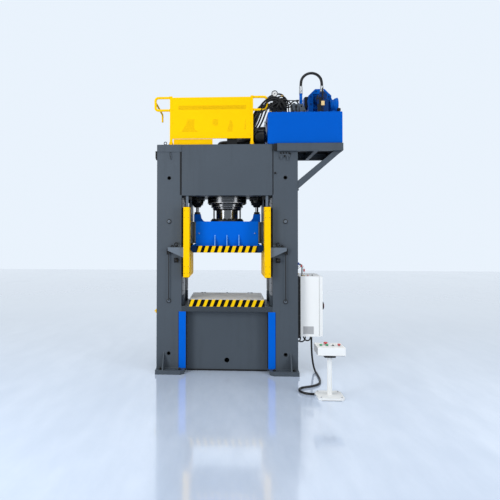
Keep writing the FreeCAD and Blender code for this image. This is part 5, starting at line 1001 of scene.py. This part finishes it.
def dress_cabinet():
    """Door seam, a black strip at the box's edge painted as the shadow of the gap beside the upright, louvres,
    locks and glands of the box, the leads round it and the air fittings on it.
    """
    top = 1900
    louvres = Shape("cabinet_louvres", "vent_grey")
    for z in [765 + k * 18.5 for k in range(7)]:
        louvres.block((1535, -466, z), (1715, -460, z + 10))
    louvres.block((1522, -462.5, 750), (1728, -460, 903), 1)
    strips = Shape("door_seal_and_gap_shadow", "black_plastic")
    strips.block((1838.5, -462.5, 712), (1842.5, -460, 1888), 1)
    strips.block((1844.5, -453.5, 720), (1870, -450, 1880), 1)
    # Painted shadow: a black strip at the box's left edge, for the gap beside the upright.
    strips.block((1406, -462.5, 665), (1470, -460, 1895), 1)
    Shape("cabinet_trim", "light_grey_paint").block((1440, -464, 1893), (1870, -460, top), 1)
    locks = Shape("cabinet_locks", "zinc_steel", "door")
    locks.knob([(13, 7), (5, 8), (5, 4)], grid(1906, -418, (980, 1620)), 16, "X")
    wall = Shape("cabinet_glands", "black_plastic")
    wall.bolt([(1438.5, y, z) for z, y in grid((760, 1840), (-360, 260))], 18, "X")
    wall.knob([(20, 14), (15, 18), (15, 30)], [(1500, -200, 700), (1560, -50, 700), (1640, 50, 700)], 6, "-Z")
    leads = Shape("clipped_cabinet_leads", "hose_rubber")
    for route in (
            ((1500, -200, 672), (1500, -220, 600), (1470, -260, 560), (1425, -280, 575), (1405, -280, 640),
             (1403.5, -280, 690)),
            ((1560, -50, 672), (1570, -160, 610), (1600, -300, 585), (1655, -350, 600), (1690, -310, 660),
             (1700, -280, 690)),
            ((1640, 50, 672), (1630, -50, 590), (1560, -200, 545), (1470, -240, 550), (1410, -220, 610),
             (1403.5, -200, 640))):
        leads.sweep(smooth(route), 13.5, 9)
    leads.sweep([(1409.5, -470, z) for z in (660, 1200, 1930)], 9.2, 9)
    leads.sweep([(1411, -448, z) for z in (660, 1200, 1900)], 10.5, 9)
    clips = Shape("cabinet_lead_clips", "zinc_steel")
    for z in (800, 1100, 1400, 1700, 1880):
        clips.block((1400, -486, z), (1404, -430, z + 20), 1)
        clips.lathe([(10.5, 0), (13, 0), (13, 16), (10.5, 16)], (1410.5, -459, z + 2), 12)

    thin = Shape("air_pipes", "zinc_steel")
    for route in (
            ((1402, -380, 2080), (1440, -385, 2085), (1470, -390, 2130), (1520, -395, 2135),
             (1548, -400, 2060), (1552, -400, 1980), (1552, -400, 1902)),
            ((1402, -430, 2040), (1430, -430, 2045), (1455, -430, 2080), (1500, -425, 2085),
             (1512, -420, 2020), (1512, -420, 1902))):
        thin.sweep(smooth(route), 4.5)
    red = Shape("red_couplings", "red_plastic")
    for place, tall in (((1487, -432, 2080), 46), ((1549, -404, 1990), 50)):
        red.lathe([(15, 0), (17, 4), (17, tall - 6), (13, tall), (0, tall)], place, 14)
    red.knob([(11, 16)], (1640, -300, top), 14)
    Shape("air_knob", "blue_plastic").knob(
        [(10, 10), (26, 14), (26, 38), (18, 44)], (1402, -460, 2150), 18, "X")
    small = Shape("brass_unions", "brass")
    small.knob([(13, 12), (9, 16), (9, 30)], (1402, -455, 1950), 6, "X")
    small.knob([(11, 16), (7, 20)], [(1552, -400, top), (1512, -420, top)], 6)
    dark = Shape("pipe_junction", "black_plastic")
    dark.block((1402, -450, 2055), (1428, -390, 2115), 4)
    dark.knob([(13, 14), (9, 17)], (1735, -250, top), 14)
    handle = Shape("isolator_grip", "red_plastic", "isolator")
    handle.knob([(26, 6), (22, 10)], (1940.5, -340, 1300), 24, "X")
    handle.block((1942.5, -354, 1262), (1956, -326, 1338), 4, 2)
    back = Shape("isolator_plate", "black_plastic", "door")
    back.block((1906, -420, 1212), (1912, -260, 1388), 3, 2)
    back.lathe([(48, 0), (76, 0), (76, 26), (68, 31), (48, 31)], (1911, -340, 1300), 32, "X")


def dress_stand():
    """Bezels, caps, screws, column flange, base bolts and glands of the control stand."""
    x, y, desk, base_hole = 1740, -2010, 865, 170
    bezels = Shape("button_bezels", "zinc_steel")
    buttons = grid((1590, 1690, 1790, 1890), -2050, desk + 0.2)
    bezels.lathe([(23.5, 0), (28.5, 0), (28, 3), (23.5, 4)], buttons, 28)
    bezels.lathe([(30, 0), (43, 0), (42, 2), (30, 3)], (1690, -1920, desk + 0.2), 28)
    flange = Shape("column_flange", "black_steel")
    outline = [(-82, -70), (82, -70), (95, -55), (95, 55), (82, 70), (-82, 70), (-95, 55), (-95, -55)]
    flange.prism(outline, (x, y, 670), "Z", 26, 2)
    flange.lathe([(42.5, 0), (60, 0), (60, 18), (42.5, 18)], (x, y, 695), 24)
    Shape("stand_screws", "light_grey_paint").screw(grid((1535, 1945), (-2190, -1830), desk), 5.5)
    anchors = Shape("stand_base_bolts", "zinc_steel")
    anchors.bolt(grid((x - base_hole, x + base_hole), (y - base_hole, y + base_hole), 40), 19)
    for name, place, radius, finish in (
            ("left_start", (1590, -2050, 876.8), 25.5, "green_plastic"),
            ("right_start", (1690, -2050, 876.8), 25.5, "green_plastic"),
            ("stop", (1890, -2050, 886), 28.5, "red_plastic")):
        Shape(name + "_cap", finish, name).lathe(
            [(radius - 4, 0), (radius, 3), (radius, 9), (radius - 5, 13), (0, 14.5)], place, 32)
    # Painted shadow: thin black lines along the base's floor edge and under the desk's edge.
    edge = Shape("stand_shadow_lines", "black_plastic")
    edge.block((1578, -2227.5, 0), (1902, -2225, 5), 1)
    edge.block((1520, -2210.5, 730.5), (1960, -2209.5, 734.5), 0.4)
    vent = Shape("desk_side_vent", "vent_grey")
    vent.block((1509.5, -2195, 737), (1512, -1825, 859), 1)
    for low in [-2180 + k * 30.5 for k in range(12)]:
        vent.block((1506.5, low, 748), (1510, low + 16, 848), 1.2)
    Shape("column_welds", "light_grey_paint").lathe([(42, 0), (50, 0), (42, 8)], (x, y, 40), 32)
    Shape("conduit_end_nut", "zinc_steel").lathe(
        [(19.5, 0), (23.4, 1), (23.4, 12), (19.5, 16)], (1508, -1935, 20.5), 6, "-X", pi / 6)


make_camera()
make_world()
lamp("key", (-7.2, -7.8, 4.6), (0.2, 0, 2.9), 3.4, 7.0, 680)
lamp("fill", (8.6, -7.0, 4.2), (0.2, 0, 2.9), 2.6, 6.6, 410)
lamp("top", (0.0, -3.0, 12.0), (0.0, 0, 2.6), 8.0, 6.0, 300)
make_floor()
make_materials()
dress_nodes()
make_cords()
for dress in (
        dress_frame, dress_platform, dress_cylinders, dress_slider, dress_tables, dress_rails, dress_curtains,
        dress_guard, dress_tank, dress_motor, dress_pump, dress_pressure_line, dress_manifold, dress_gauge,
        dress_cabinet, dress_stand):
    dress()
for shape in Shape.made:
    shape.put()

SCENE.view_settings.view_transform = "Standard"
